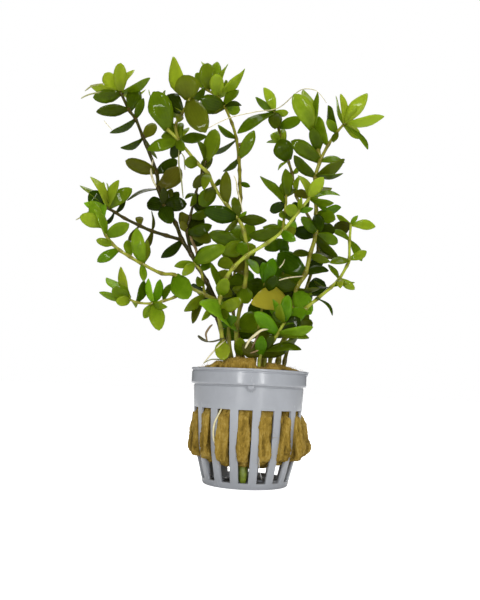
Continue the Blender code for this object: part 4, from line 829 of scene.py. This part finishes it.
def make_stem_material(mottle):
    """Stem skin: green to brown by age, browner at its nodes, with pale lengthwise streaks, a painted sheen
    over uneven skin colour.
    """
    material, tree, shader = start_material("bacopa_stem")
    # The streaks paint a sheen along the stem as well as uneven skin colour, and also give the skin its bump
    streaks = add_mottle(tree, mottle, 900.0, 2.2, (1.0, 1.0, 0.12))
    skin = colour_by_darkness(tree, streaks, 0.3, STEM_COLOURS)
    ringed = compute(tree, "MULTIPLY", read_attribute(tree, "node_near"), 0.6)
    set_inputs(shader, {"Base Color": mix_colours(tree, ringed, skin, STEM_NODE_COLOUR),
                        "Normal": bump_skin(tree, streaks, 0.4, 0.0001), "Roughness": 0.5,
                        "Coat Weight": 0.26, "Coat Roughness": 0.09, "Specular IOR Level": 0.03})
    return material


def make_pot_material(mottle):
    """Grey moulded plastic: cloudy, lightly scuffed and satin."""
    material, tree, shader = start_material("grey_moulded_plastic")
    clouds = add_mottle(tree, mottle, 60.0, 1.4)
    scuffs = add_mottle(tree, mottle, 420.0, 1.8, (1.0, 1.0, 0.35))
    rough = add_node(tree, "MapRange", {"Value": scuffs, "To Min": 0.18, "To Max": 0.3}, "Result")
    set_inputs(shader, {"Base Color": ramp_colours(tree, clouds, POT_COLOURS), "Roughness": rough,
                        "Normal": bump_skin(tree, scuffs, 0.25, 0.0001)})
    return material


def make_wool_material(mottle):
    """Rock wool: mustard brown and matted, with painted shade in its folds, and pale on its loose fibres."""
    material, tree, shader = start_material("matted_rock_wool")
    clouds = add_mottle(tree, mottle, 110.0, 2.0)
    strands = add_mottle(tree, mottle, 1500.0, 2.0, (1.0, 1.0, 0.35))
    both = compute(tree, "MULTIPLY_ADD", strands, 0.5, compute(tree, "MULTIPLY", clouds, 0.5))
    # Painted shade: the colour is darkened where the skin is pushed in, in the folds
    fold_shaded = compute(tree, "SUBTRACT", both, read_attribute(tree, "painted_fold_shade"), clamp=True)
    set_inputs(shader, {"Base Color": ramp_colours(tree, fold_shaded, WOOL_COLOURS),
                        "Normal": bump_skin(tree, strands, 0.9, 0.0004), "Roughness": 0.9,
                        "Specular IOR Level": 0.1})
    return material


def make_thread_material(mottle, name, dark, light):
    """Dried root or thread: streaked along its length."""
    material, tree, shader = start_material(name)
    streaks = add_mottle(tree, mottle, 500.0, 2.4)
    set_inputs(shader, {"Base Color": ramp_colours(tree, streaks, ((0.0, dark), (1.0, light))),
                        "Roughness": 0.5})
    return material


# Leaves


def blade_half_width(share, widest, foot, point):
    """Half the blade's width at a share of its length, as a share of its widest half."""
    if share < widest:
        return foot + (1.0 - foot) * math.sin(math.pi / 2.0 * share / widest) ** 1.2
    return (1.0 - ((share - widest) / (1.0 - widest)) ** 2) ** point


def model_blade(name, widest, foot, point):
    """A flat closed blade, 1 long along Y, 1 wide along X and 1 thick along Z, to be laid on each leaf."""
    rows = len(BLADE_ROWS) - 1
    blade = add_primitive("grid", x_subdivisions=BLADE_COLUMNS, y_subdivisions=rows, size=1.0,
                          location=(0.0, 0.5, 0.0))
    blade.name = name
    open_edit(blade)
    shape = bmesh.from_edit_mesh(blade.data)
    for row, share in enumerate(BLADE_ROWS):
        half = blade_half_width(share, widest, foot, point) if row < rows else BLADE_TIP_HALF_WIDTH
        for vert in shape.verts:
            vert.select_set(abs(vert.co.y - row / rows) < 0.001)
        shape.select_flush_mode()
        bmesh.update_edit_mesh(blade.data)
        bpy.ops.transform.resize(value=(half, 1.0, 1.0))
    for vert in shape.verts:
        row = round(vert.co.y * rows)
        outward = abs(vert.co.x) / (BLADE_TIP_HALF_WIDTH / 2.0)
        vert.co.y = BLADE_ROWS[row] - (BLADE_TIP_ROUNDING * outward ** 2 if row == rows else 0.0)
    bmesh.update_edit_mesh(blade.data)
    close_edit()
    blade.data.uv_layers[0].name = "blade"
    add_modifier(blade, "Thickness", "SOLIDIFY", thickness=1.0, offset=0.0)
    apply_modifiers(blade)
    thin_rim(blade)
    bpy.ops.object.shade_smooth()
    return blade


def thin_rim(blade):
    """Thin the blade towards its rim, so that it isn't a cut plate."""
    shape = bmesh.new()
    shape.from_mesh(blade.data)
    rim = {vert for face in shape.faces if abs(face.normal.z) < 0.5 for vert in face.verts}
    for vert in rim:
        vert.co.z *= BLADE_RIM_SHARE
    shape.to_mesh(blade.data)
    shape.free()


def planned_stem(shoot):
    return [seen_place(*point) for point in PLAN[shoot]["stem"]]


def stem_route(shoot):
    """The middle line of a stem, as in its solid, but with a branch starting in its parent stem."""
    route = planned_stem(shoot)
    if PLAN[shoot]["from"] is None:
        return [Vector((route[0].x, route[0].y, ROOT_DEPTH))] + route
    return route


def solid_fork(shoot):
    """Where the solid of a branch starts: set off from its fork by the parent's radius."""
    route = planned_stem(shoot)
    parent_name, fork = PLAN[shoot]["from"]
    parent = planned_stem(parent_name)
    after = parent[min(fork + 1, len(parent) - 1)]
    along = (after - parent[fork - 1]).normalized()
    out = (route[1] - route[0]).normalized()
    lean = abs(out.dot(along))
    across = max(math.sqrt(1.0 - lean * lean), FLATTEST_FORK)
    parent_room = PLAN[parent_name]["radius"] * MM * FORK_CLEARANCE + FORK_GAP
    return route[0] + out * ((parent_room + PLAN[shoot]["radius"] * MM * lean) / across)


def leaf_foot(route, index, order):
    """Where a leaf starts: on the stem's middle line, a little off the point that the plan names."""
    ahead = route[index + 1] if index + 1 < len(route) else route[index]
    behind = route[index - 1] if index > 0 else route[index]
    if index + 1 == len(route):
        return route[index] + (behind - ahead).normalized() * TOP_SETBACK
    return route[index] + (ahead - behind).normalized() * LEAF_STAGGER * (order % 5 - 2)


def leaf_frame(base, tip, width, turn_side):
    """Along, across and face directions of a leaf, and its real width.

    A leaf that shows narrow for its length is a natural one that is turned on its own axis.
    """
    length = (tip - base).length
    along = (tip - base) / length
    to_eye = (EYE - (base + tip) / 2.0).normalized()
    face = (to_eye - along * to_eye.dot(along)).normalized()
    real_width = max(width, NATURAL_WIDTH * length)
    turn = math.acos(min(1.0, width / real_width)) * turn_side
    face = Matrix.Rotation(turn, 3, along) @ face
    return along, along.cross(face), face, real_width


def solid_leaf_points(base, tip, width, turn_side):
    """The corners of the leaf's solid at its widest station and its tip."""
    along, across, face, real_width = leaf_frame(base, tip, width, turn_side)
    length = (tip - base).length
    corners = []
    for share, half in ((SOLID_STATION, 0.5), (1.0, SOLID_TIP_HALF_WIDTH)):
        bow = LEAF_BOW * length * 4.0 * share * (1.0 - share)
        middle = base + along * length * share + face * bow
        corners += [middle + across * half * real_width, middle - across * half * real_width, middle]
    return corners


def natural_reach(base_plan, tip_plan, width, index):
    """How far a leaf reaches towards or away from the eye where the plan gives no depth."""
    flat = math.hypot(tip_plan[0] - base_plan[0], tip_plan[1] - base_plan[1])
    natural = min(NATURAL_LENGTH * width, LONGEST_LEAF / MM)
    spare = math.sqrt(max(natural * natural - flat * flat, 0.0))
    return spare * (1.0 if index % 2 else -1.0)


Leaf = namedtuple("Leaf", "base tip width turn_side tone warmth")


def width_at_depth(width, tip):
    """The real width of a blade that shows a width at the plane of the plan."""
    return width * MM * (tip.y - EYE.y) / -EYE.y


def find_leaves(shoot):
    """Each leaf of a shoot, at the depth that its solid was set to.

    The solid's leaves were moved in depth to be clear of each other, so each leaf is tried at the
    same depths, and stays at the one where the solid's surface is nearest.
    """
    plan = PLAN[shoot]
    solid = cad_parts[shoot].data
    surface = BVHTree.FromPolygons([vert.co for vert in solid.vertices],
                                   [tuple(face.vertices) for face in solid.polygons])
    route = stem_route(shoot)
    first = 1
    if plan["from"] is not None:
        first = 0
        route[0] = solid_fork(shoot)
    leaves = []
    for index, (node, width_at, height_at, width, tone, reach) in enumerate(plan["leaves"]):
        base_plan = plan["stem"][node]
        base = leaf_foot(route, node + first, index)
        if reach is None:
            reach = natural_reach(base_plan, (width_at, height_at), width, index)
        turn_side = 1.0 if index % 2 else -1.0
        tries = []
        for extra in DEPTH_TRIES:
            tip = seen_place(width_at, height_at, base_plan[2] + reach + extra)
            real_width = width_at_depth(width, tip)
            corners = solid_leaf_points(base, tip, real_width, turn_side)
            distance = sum(surface.find_nearest(corner)[3] for corner in corners)
            tries.append((distance, len(tries), tip, real_width))
        tip, real_width = min(tries)[2:]
        warmth = None
        if (shoot, index) in BLADE_CHANGES:
            place, width, tone, warmth = BLADE_CHANGES[shoot, index]
            if place is not None:
                tip = seen_place(*place)
                real_width = width_at_depth(width, tip)
        leaves.append(Leaf(base, tip, real_width, turn_side, tone, warmth))
    return leaves


def painted_light(tip):
    """How much lighter the leaves at a place are painted: painted light, more at the top and right and on
    the left, and painted shade inside.
    """
    height = climb(tip.z, *LIT_HEIGHT)
    right = climb(tip.x, *LIT_RIGHT)
    left = climb(-tip.x, *LIT_LEFT) * (1.0 - height)
    inside = (1.0 - height) * (1.0 - right) * (1.0 - left)
    return (LIGHT_AT_TOP * height + LIGHT_AT_TOP_RIGHT * height * right + LIGHT_AT_LEFT * left
            - SHADE_INSIDE * inside)


def own_warmth(drift, tip):
    """How yellow a leaf is by its own drift, or under 0 how fresh a green, which only low leaves are."""
    if drift > 0.0:
        is_old = tip.x < OLD_LEFT and tip.z > OLD_HEIGHT
        return min(MOST_WARMTH, drift * (OLD_WARMTH if is_old else YOUNG_WARMTH))
    return max(-MOST_FRESH, FRESH_GAIN * drift) * climb(FRESH_HEIGHT - tip.z, 0.0, FRESH_SPAN)


def lay_points(flat, leaf, habit):
    """The points of the flat blade laid on a leaf: bowed, curled, cupped, twisted and waved."""
    length = (leaf.tip - leaf.base).length
    *axes, real_width = leaf_frame(leaf.base, leaf.tip, leaf.width, leaf.turn_side)
    along, across, face = (np.array(axis) for axis in axes)
    side, share, depth = 2.0 * flat[:, 0], flat[:, 1], flat[:, 2]
    sickle = habit["sickle"]
    phase = habit["phase"]
    curl = max(-STRONGEST_CURL, min(STRONGEST_CURL, habit["curl"]))
    curled = np.maximum(share - CURL_START, 0.0)
    bow = LEAF_BOW + habit["more_bow"]

    centre = (np.array(leaf.base) + np.outer(share * length, along)
              + np.outer(bow * length * 4.0 * share * (1.0 - share), face)
              + np.outer(sickle * length * np.sin(math.pi * share), across)
              + np.outer(curl * length * curled ** 2, face))
    heading = (along + np.outer(4.0 * bow * (1.0 - 2.0 * share) + 2.0 * curl * curled, face)
               + np.outer(sickle * math.pi * np.cos(math.pi * share), across))
    heading /= np.linalg.norm(heading, axis=1)[:, None]
    normal = face - heading * (heading @ face)[:, None]
    normal /= np.linalg.norm(normal, axis=1)[:, None]
    sideways = np.cross(heading, normal)
    turn = habit["twist"] * (share - TWIST_START)
    sideways, normal = (sideways * np.cos(turn)[:, None] + normal * np.sin(turn)[:, None],
                        normal * np.cos(turn)[:, None] - sideways * np.sin(turn)[:, None])

    # The blade is cupped most in its middle, and waved along its rims
    spread = np.sin(math.pi * np.clip(share * CUP_STRETCH + CUP_START, 0.0, 1.0))
    waves = np.sin(phase + RIM_WAVES * share + WAVE_LAG * np.sign(side))
    lift = habit["cup"] * side ** 2 * spread + habit["wave"] * side ** 2 * waves
    thickness = BLADE_THICKNESS * (1.0 - BLADE_THINNING * share)
    outline = (1.0 + habit["uneven"] * np.sign(side) * np.sin(math.pi * share)
               + SCALLOP * np.sin(2.0 * phase + SCALLOP_WAVES * share))
    return (centre + sideways * (side * outline * real_width / 2.0)[:, None]
            + normal * (lift * real_width / 2.0 + depth * thickness)[:, None])


def lay_blade(master, leaf, draws):
    """A copy of the flat blade laid on one leaf, with the age, painted light and shade, and warmth of its
    colour.
    """
    habit = {name: getattr(draws, kind)(low, high) for name, kind, low, high in LEAF_HABITS}
    blade = add_object(master.name, master.data.copy())
    flat = points_of(blade)
    side, share, depth = 2.0 * flat[:, 0], flat[:, 1], flat[:, 2]
    set_points(blade, lay_points(flat, leaf, habit))
    # Painted light and painted shade by the leaf's place lighten or darken its tone
    tone = leaf.tone + TONE_SHIFT + habit["more_tone"] - painted_light(leaf.tip)
    darkness = tone - YOUNGER_TIP * share - YOUNGER_RIM * np.abs(side)
    warmth = own_warmth(habit["drift"], leaf.tip) if leaf.warmth is None else leaf.warmth
    set_attribute(blade, "darkness", np.clip(darkness, 0.0, 1.0))
    set_attribute(blade, "warmth", np.full(len(share), max(0.0, warmth)))
    set_attribute(blade, "fresh", np.full(len(share), max(0.0, -warmth)))
    set_attribute(blade, "underside", (depth < 0.0).astype(float))
    return blade


def dress_leaves(shoot, masters, material):
    draws = random.Random(shoot)
    blades = []
    for leaf in find_leaves(shoot):
        slender = leaf.width < SLENDER_SHARE * (leaf.tip - leaf.base).length
        blades.append(lay_blade(masters["slender" if slender else "broad"], leaf, draws))
    finish_piece(join_all(blades, shoot + "_leaves"), [shoot], material)


# Stems


def dress_stem(shoot, material):
    """A stem that tapers to its tip and swells where its leaves grow."""
    line = smooth_line(stem_route(shoot), STEM_STEP)
    nodes = planned_stem(shoot)
    lengths = np.cumsum([0.0] + [(b - a).length for a, b in zip(line, line[1:])])
    near = []
    radii = []
    for point, run in zip(line, lengths):
        distance = min((point - node).length for node in nodes)
        close = math.exp(-(distance / NODE_REACH) ** 2)
        taper = 1.0 - (1.0 - STEM_TOP_SHARE) * run / lengths[-1]
        near.append(close)
        radii.append(PLAN[shoot]["radius"] * MM * taper * (STEM_THINNEST + NODE_SWELLING * close))
    stem = make_tube(shoot + "_stem", line, radii, STEM_SIDES)
    closest = [min(range(len(line)), key=lambda i: (line[i] - Vector(place)).length_squared)
               for place in points_of(stem)]
    tone = STEM_TONES[shoot]
    younger_top = YOUNGER_GREEN_TOP if tone < GREEN_STEM else YOUNGER_TOP
    set_attribute(stem, "node_near", [near[i] for i in closest])
    set_attribute(stem, "darkness", [tone + STEM_TONE_SHIFT - younger_top * lengths[i] / lengths[-1]
                                for i in closest])
    stem.data.name = stem.name
    finish_piece(stem, [shoot], material)


# Net pot


def wall_radius(height):
    """The outer radius of the pot's wall below its band, one smooth curve through the solid's corners."""
    heights = (0.0, FLOOR_THICKNESS, SLAT_BELLY_HEIGHT, SLOT_TOP, BAND_BOTTOM - 0.2 * MM)
    radii = (FOOT_RADIUS - 0.3 * MM, FOOT_RADIUS, SLAT_BELLY_RADIUS, SLOT_TOP_RADIUS + 0.2 * MM,
             SHOULDER_RADIUS - 0.1 * MM)
    bulge = math.sin(math.pi * climb(height, 0.0, SLOT_TOP)) * SLAT_BULGE
    return float(np.interp(height, heights, radii)) + bulge


def pot_rings():
    """Heights and radii of the rings that the wall is drawn down by, from the lip to the foot."""
    lip_foot = POT_HEIGHT - LIP_THICKNESS
    band_crease = BAND_RADIUS - CREASE_DEPTH
    shoulder_crease = SHOULDER_RADIUS - CREASE_DEPTH
    shoulder = BAND_BOTTOM - 1.0 * MM
    rings = [(POT_HEIGHT, LIP_RADIUS - 1.2 * MM), (POT_HEIGHT, LIP_RADIUS - 0.25 * MM),
             (POT_HEIGHT - 0.2 * MM, LIP_RADIUS), (lip_foot, LIP_RADIUS),
             (lip_foot - 0.1 * MM, band_crease), (lip_foot - 0.7 * MM, band_crease),
             (lip_foot - 0.95 * MM, BAND_RADIUS), (lip_foot - 1.5 * MM, BAND_RADIUS),
             (BAND_BOTTOM + 0.9 * MM, BAND_RADIUS), (BAND_BOTTOM + 0.3 * MM, BAND_RADIUS),
             (BAND_BOTTOM, BAND_RADIUS - 0.2 * MM), (BAND_BOTTOM - 0.05 * MM, shoulder_crease),
             (BAND_BOTTOM - 0.7 * MM, shoulder_crease), (shoulder, wall_radius(shoulder))]
    for height in WALL_HEIGHTS:
        inset = 0.35 * MM if height == 0.0 else 0.0
        rings.append((height * MM, wall_radius(height * MM) - inset))
    return rings


def column_angle(column, radius):
    """The angle of a column of the wall: slats keep their width at any radius, and slots take the rest."""
    pitch = 2.0 * math.pi / SLAT_COUNT
    slat, place = divmod(column, SLAT_COLUMNS + SLOT_COLUMNS)
    half = math.asin(SLAT_WIDTH / 2.0 / radius)
    if place <= SLAT_COLUMNS:
        offset = half * (2.0 * place / SLAT_COLUMNS - 1.0)
    else:
        offset = half + (pitch - 2.0 * half) * (place - SLAT_COLUMNS) / SLOT_COLUMNS
    return FIRST_SLAT + pitch * slat + offset


def start_ring(columns, radius, height):
    """A ring of points, open for editing with all of it selected."""
    ring = add_primitive("circle", vertices=columns, radius=radius, location=(0.0, 0.0, height))
    open_edit_all(ring)
    return ring


def extrude_ring(rise, share, height):
    """Draw a new ring from the last one, a rise further and a share as wide."""
    bpy.ops.mesh.extrude_region_move(TRANSFORM_OT_translate={"value": (0.0, 0.0, rise)})
    bpy.ops.transform.resize(value=(share, share, 1.0), center_override=(0.0, 0.0, height))


def cut_openings(item, is_open):
    """Delete the faces whose middles lie in an opening of a piece that is open for editing, and close it."""
    shape = bmesh.from_edit_mesh(item.data)
    for face in shape.faces:
        face.select_set(is_open(face.calc_center_median()))
    bmesh.update_edit_mesh(item.data)
    bpy.ops.mesh.delete(type="FACE")
    close_edit()
    face_outwards(item)


def thicken(item, thickness, offset, softness, segments):
    """Give an open sheet its thickness, with softened edges."""
    add_modifier(item, "Thickness", "SOLIDIFY", thickness=thickness, offset=offset)
    add_modifier(item, "Soften", "BEVEL", width=softness, segments=segments, limit_method="ANGLE",
                 angle_limit=SHARP_EDGE)
    apply_modifiers(item)


def angle_off(place, pitch):
    """How far round the pot a place lies from the nearest of its slats or spokes, a pitch apart."""
    return (math.atan2(place.y, place.x) - FIRST_SLAT + pitch / 2.0) % pitch - pitch / 2.0


def in_slot(place):
    """Whether a place on the wall lies between two slats."""
    half_slat = math.asin(SLAT_WIDTH / 2.0 / math.hypot(place.x, place.y))
    return abs(angle_off(place, 2.0 * math.pi / SLAT_COUNT)) > half_slat and SLOT_BOTTOM < place.z < SLOT_TOP


def in_floor_opening(place):
    """Whether a place on the floor lies in an opening between two spokes."""
    sector = 2.0 * math.pi / FLOOR_SPOKES
    radius = math.hypot(place.x, place.y)
    in_ring = any(inner * MM < radius < outer * MM for outer, inner in FLOOR_OPENINGS)
    return in_ring and abs(angle_off(place, sector)) > sector / FLOOR_COLUMNS


def model_wall():
    """The lip, band and slats, drawn down ring by ring from a circle, with the slots taken out."""
    columns = SLAT_COUNT * (SLAT_COLUMNS + SLOT_COLUMNS)
    rings = pot_rings()
    height, radius = rings[0]
    wall = start_ring(columns, radius, height)
    for next_height, next_radius in rings[1:]:
        extrude_ring(next_height - height, next_radius / radius, next_height)
        height, radius = next_height, next_radius
    close_edit()
    step = 2.0 * math.pi / columns
    for vert in wall.data.vertices:
        radius = math.hypot(vert.co.x, vert.co.y)
        column = round((math.atan2(vert.co.y, vert.co.x) - FIRST_SLAT) / step) + SLAT_COLUMNS // 2
        angle = column_angle(column, radius)
        vert.co.x, vert.co.y = radius * math.cos(angle), radius * math.sin(angle)
    open_edit(wall)
    cut_openings(wall, in_slot)
    thicken(wall, POT_WALL, -1.0, 0.22 * MM, 2)
    return wall


def model_floor():
    """The floor: thin rings carried by eight spokes around a hub."""
    floor = start_ring(FLOOR_SPOKES * FLOOR_COLUMNS, FLOOR_RINGS[0] * MM, FLOOR_THICKNESS)
    for outer, inner in zip(FLOOR_RINGS, FLOOR_RINGS[1:]):
        extrude_ring(0.0, inner / outer, FLOOR_THICKNESS)
    bpy.ops.mesh.edge_face_add()
    cut_openings(floor, in_floor_opening)
    faces_up = floor.data.polygons[0].normal.z > 0.0
    thicken(floor, FLOOR_THICKNESS, -1.0 if faces_up else 1.0, 0.2 * MM, 1)
    return floor


def model_pull_ear():
    """The small ear that stands out from the lip at the right."""
    ear = add_primitive("cube", size=1.0, location=(EAR_RADIUS, 0.0, EAR_HEIGHT), scale=EAR_SIZE)
    for vert in ear.data.vertices:
        if vert.co.z < EAR_HEIGHT and vert.co.x > EAR_RADIUS:
            vert.co.x -= 1.0 * MM
            vert.co.z -= 1.2 * MM
        elif vert.co.x > EAR_RADIUS:
            vert.co.y *= 0.55
    open_edit_all(ear)
    bpy.ops.mesh.bevel(offset=0.25 * MM, segments=2)
    close_edit()
    ear.data.transform(Matrix.Rotation(EAR_ANGLE, 4, "Z"))
    return ear


def model_gate_mark():
    """The half-round mark that the mould's gate leaves under the band, with its small ticks."""
    mark = add_primitive("uv_sphere", segments=24, ring_count=12, radius=GATE_RADIUS,
                         scale=(1.0, GATE_FLATNESS, 1.0))
    open_edit_all(mark)
    bpy.ops.mesh.bisect(plane_co=(0.0, 0.0, 0.3 * MM), plane_no=(0.0, 0.0, 1.0), clear_outer=True,
                        use_fill=True)
    close_edit()
    pieces = [mark]
    reach = GATE_RADIUS + 0.75 * MM
    for index in range(GATE_TICKS):
        lean = FIRST_TICK + TICK_FAN * index / (GATE_TICKS - 1)
        pieces.append(add_primitive("cone", vertices=8, radius1=0.32 * MM, radius2=0.08 * MM, depth=0.9 * MM,
                                    location=(reach * math.cos(lean), 0.0, reach * math.sin(lean)),
                                    rotation=(0.0, math.pi / 2.0 - lean, 0.0)))
    whole = join_all(pieces, "gate_mark")
    place = (0.0, -SHOULDER_RADIUS - 0.02 * MM, BAND_BOTTOM - 0.5 * MM)
    whole.data.transform(Matrix.Rotation(GATE_ANGLE, 4, "Z") @ Matrix.Translation(place))
    return whole


def dress_pot(material):
    pot = join_all([model_wall(), model_floor(), model_pull_ear(), model_gate_mark()], "net_pot_moulding")
    select_only(pot)
    bpy.ops.object.shade_smooth_by_angle(angle=SMOOTH_EDGE)
    finish_piece(pot, ["net_pot"], material)


# Rock wool


def tear_top(place):
    """A place over the lip, moved to the torn top: low at the sides, with two raised blocks."""
    widths, rises = zip(*WOOL_TOP_LINE)
    rise = float(np.interp(place.x / MM, widths, rises))
    torn = TEAR_DEPTH * noise.noise(Vector((place.x * TEAR_ACROSS, place.y * TEAR_ALONG, TEAR_SHIFT)))
    place.z = POT_HEIGHT + (place.z - POT_HEIGHT) / WOOL_TOP_RISE * max(LEAST_RISE, rise + torn) * MM
    return place


def wool_form(place):
    """A place of the plain block moved to the torn block's: lobes in the slots, and a ragged bottom."""
    place = place.copy()
    if place.z > POT_HEIGHT:
        return tear_top(place)
    radius = math.hypot(place.x, place.y)
    angle = math.atan2(place.y, place.x)
    ragged = noise.noise(Vector((math.cos(angle), math.sin(angle), 0.0)) * LEDGE_WAVES) * WOOL_RAGGED
    ledge = WOOL_LEDGE + ragged
    inner_wall = wall_radius(place.z) - POT_WALL
    if place.z < SLOT_TOP and radius > inner_wall:
        swell = math.exp(-((place.z - ledge - WOOL_LOBE_HEIGHT) / WOOL_LOBE_REACH) ** 2)
        wanted = radius + WOOL_LOBE_SWELL * swell if place.z > ledge else inner_wall - WOOL_SETBACK
        place.x *= wanted / radius
        place.y *= wanted / radius
    share = climb(ledge - place.z, 0.0, WOOL_BOTTOM_REACH)
    place.z += WOOL_BOTTOM_RISE * share * share * (3.0 - 2.0 * share) + 0.5 * ragged * share
    return place


def wool_push(place, normal):
    """How far the wool's skin stands out at a place: lumps, upright folds and a matted grain."""
    lumps = noise.noise(place * LUMP_SCALE)
    folds = noise.noise(place * Vector(FOLD_SCALE) + Vector(FOLD_SHIFT))
    grain = noise.noise(place * GRAIN_SCALE)
    upright = 1.0 - abs(normal.z)
    return (lumps * LUMP_SHARE + folds * FOLD_SHARE * upright + grain * GRAIN_SHARE) * WOOL_RELIEF


def dress_wool(material):
    """The block of wool: the solid's form remeshed fine, torn, and pushed in lumps and folds."""
    wool = add_object("rock_wool_block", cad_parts["rock_wool"].data.copy())
    open_edit_all(wool)
    bpy.ops.mesh.remove_doubles(threshold=0.00001)
    close_edit()
    add_modifier(wool, "Fine", "REMESH", mode="VOXEL", voxel_size=WOOL_VOXEL)
    add_modifier(wool, "Relax", "SMOOTH", iterations=3, factor=0.5)
    apply_modifiers(wool)
    set_points(wool, [wool_form(vert.co) for vert in wool.data.vertices])
    skin = [(vert.co.copy(), vert.normal.copy()) for vert in wool.data.vertices]
    pushes = [wool_push(place, normal) for place, normal in skin]
    set_points(wool, [place + normal * push for (place, normal), push in zip(skin, pushes)])
    # How deep each point lies in a fold, for the painted shade there
    set_attribute(wool, "painted_fold_shade", [min(0.5, max(0.0, -0.55 * push / WOOL_RELIEF)) for push in pushes])
    bpy.ops.object.shade_smooth()
    finish_piece(wool, ["rock_wool"], material)
    dress_fibres(wool, material)


def dress_fibres(wool, material):
    """Short loose fibres that stand off the wool's skin."""
    draws = random.Random(FIBRE_SEED)
    faces = wool.data.polygons
    lines = []
    for _ in range(FIBRE_COUNT):
        face = faces[draws.randrange(len(faces))]
        outward = face.normal
        sideways = Vector((draws.uniform(-1, 1), draws.uniform(-1, 1), draws.uniform(-0.6, 0.6)))
        sideways = (sideways - outward * sideways.dot(outward)).normalized()
        length = draws.uniform(*FIBRE_LENGTH) * MM
        rise = draws.uniform(*FIBRE_RISE)
        start = face.center - outward * 0.15 * MM
        line = []
        for k in range(4):
            t = k / 3.0
            away = outward * length * rise * math.sin(math.pi * t * 0.8)
            line.append((start + sideways * length * t + away, 1.0 - 0.7 * t))
        lines.append(line)
    fibres = draw_tubes("wool_fibres", lines, FIBRE_RADIUS, 0, False)
    finish_piece(fibres, [], material)


# Roots, threads and dead bits


def dress_threads(mottle):
    """Fine roots, dried threads and dead curls, each a bent tube through points of the plan."""
    for finish, (material_name, dark, light) in THREAD_FINISHES.items():
        material = make_thread_material(mottle, material_name, dark, light)
        tubes = []
        for order, (kind, radius, points) in enumerate(THREADS):
            if kind != finish:
                continue
            line = smooth_line([seen_place(*point) for point in points], THREAD_STEP)
            last = len(line) - 1
            radii = [radius * MM * (1.0 - THREAD_TAPER * abs(2.0 * k / last - 1.0) ** 3)
                     for k in range(len(line))]
            tubes.append(make_tube("thread_%d" % order, line, radii, THREAD_SIDES))
        finish_piece(join_all(tubes, finish + "_roots"), [], material)


# Stage, light and camera


def make_floor():
    floor = add_primitive("plane", size=6.0, location=(0.0, 0.0, -0.02 * MM))
    floor.name = "pale_floor"
    material, tree, shader = start_material("pale_floor")
    seen = add_node(tree, "LightPath", give="Is Camera Ray")
    set_inputs(shader, {"Base Color": (0.8, 0.8, 0.8, 1.0), "Roughness": 0.9, "Specular IOR Level": 0.1,
                        "Emission Color": (1.0, 1.0, 1.0, 1.0),
                        "Emission Strength": compute(tree, "MULTIPLY", seen, 0.8)})
    set_material(floor, material)


def make_room():
    """A white room: brightest behind the plant, so that its leaves glow, and dim in reflections."""
    world = bpy.data.worlds.new("white_room")
    world.use_nodes = True
    tree = world.node_tree
    way = add_node(tree, "TexCoord", give="Generated")
    up = add_node(tree, "SeparateXYZ", {0: way}, "Z")
    back = add_node(tree, "SeparateXYZ", {0: way}, "Y")
    soft = add_node(tree, "MapRange", {"Value": up, "From Min": -0.4, "From Max": 0.6, "To Min": 0.3,
                                       "To Max": 1.0}, "Result")
    rear = add_node(tree, "MapRange", {"Value": back, "From Min": -1.0, "From Max": 1.0, "To Min": 0.3,
                                       "To Max": 0.75}, "Result")
    dim = compute(tree, "MULTIPLY_ADD", add_node(tree, "LightPath", give="Is Glossy Ray"), -0.98, 1.0)
    lit = compute(tree, "MULTIPLY", compute(tree, "MULTIPLY", soft, rear), dim)
    seen = compute(tree, "MAXIMUM", lit, add_node(tree, "LightPath", give="Is Camera Ray"))
    set_inputs(tree.nodes["Background"], {"Color": (1.0, 1.0, 1.0, 1.0), "Strength": seen})
    bpy.context.scene.world = world


def make_light(name, place, target, size, power):
    lamp = bpy.data.lights.new(name, "AREA")
    lamp.shape = "RECTANGLE"
    lamp.size, lamp.size_y = size
    lamp.energy = power
    item = add_object(name, lamp)
    item.location = place
    item.rotation_euler = (Vector(target) - Vector(place)).to_track_quat("-Z", "Y").to_euler()


def make_lights():
    make_room()
    bpy.context.scene.view_settings.view_transform = "Standard"
    plant = (0.0, 0.0, 0.1)
    level = (0.0, 0.0, 0.48)
    make_light("left_strip", (-0.32, -1.1, 0.48), level, (0.06, 0.92), 7.5)
    make_light("right_strip", (0.5, -1.05, 0.48), level, (0.06, 0.92), 7.5)
    make_light("top_box", (0.1, 0.25, 1.0), plant, (0.8, 0.6), 7.5)
    make_light("back_box", (-0.2, 0.95, 0.8), plant, (0.6, 0.5), 4.5)


def make_camera():
    data = bpy.data.cameras.new("photo_camera")
    data.lens = CAMERA_LENS
    data.sensor_width = CAMERA_SENSOR
    data.clip_start = 0.01
    data.dof.use_dof = False
    camera = add_object("photo_camera", data)
    camera.location = EYE
    facing = (CAMERA_TARGET - EYE).to_track_quat("-Z", "Y").to_matrix()
    camera.rotation_euler = (facing @ Matrix.Rotation(CAMERA_ROLL, 3, "Z")).to_euler()
    bpy.context.scene.camera = camera


def main():
    mottle = make_mottle_group()
    leaf_material = make_leaf_material(mottle)
    stem_material = make_stem_material(mottle)
    dress_pot(make_pot_material(mottle))
    dress_wool(make_wool_material(mottle))
    masters = {"broad": model_blade("broad_blade", 0.53, 0.34, 0.6),
               "slender": model_blade("slender_blade", 0.5, 0.28, 0.76)}
    for shoot in PLAN:
        dress_stem(shoot, stem_material)
        dress_leaves(shoot, masters, leaf_material)
    for master in masters.values():
        bpy.data.objects.remove(master, do_unlink=True)
    dress_threads(mottle)
    make_floor()
    make_lights()
    make_camera()


main()
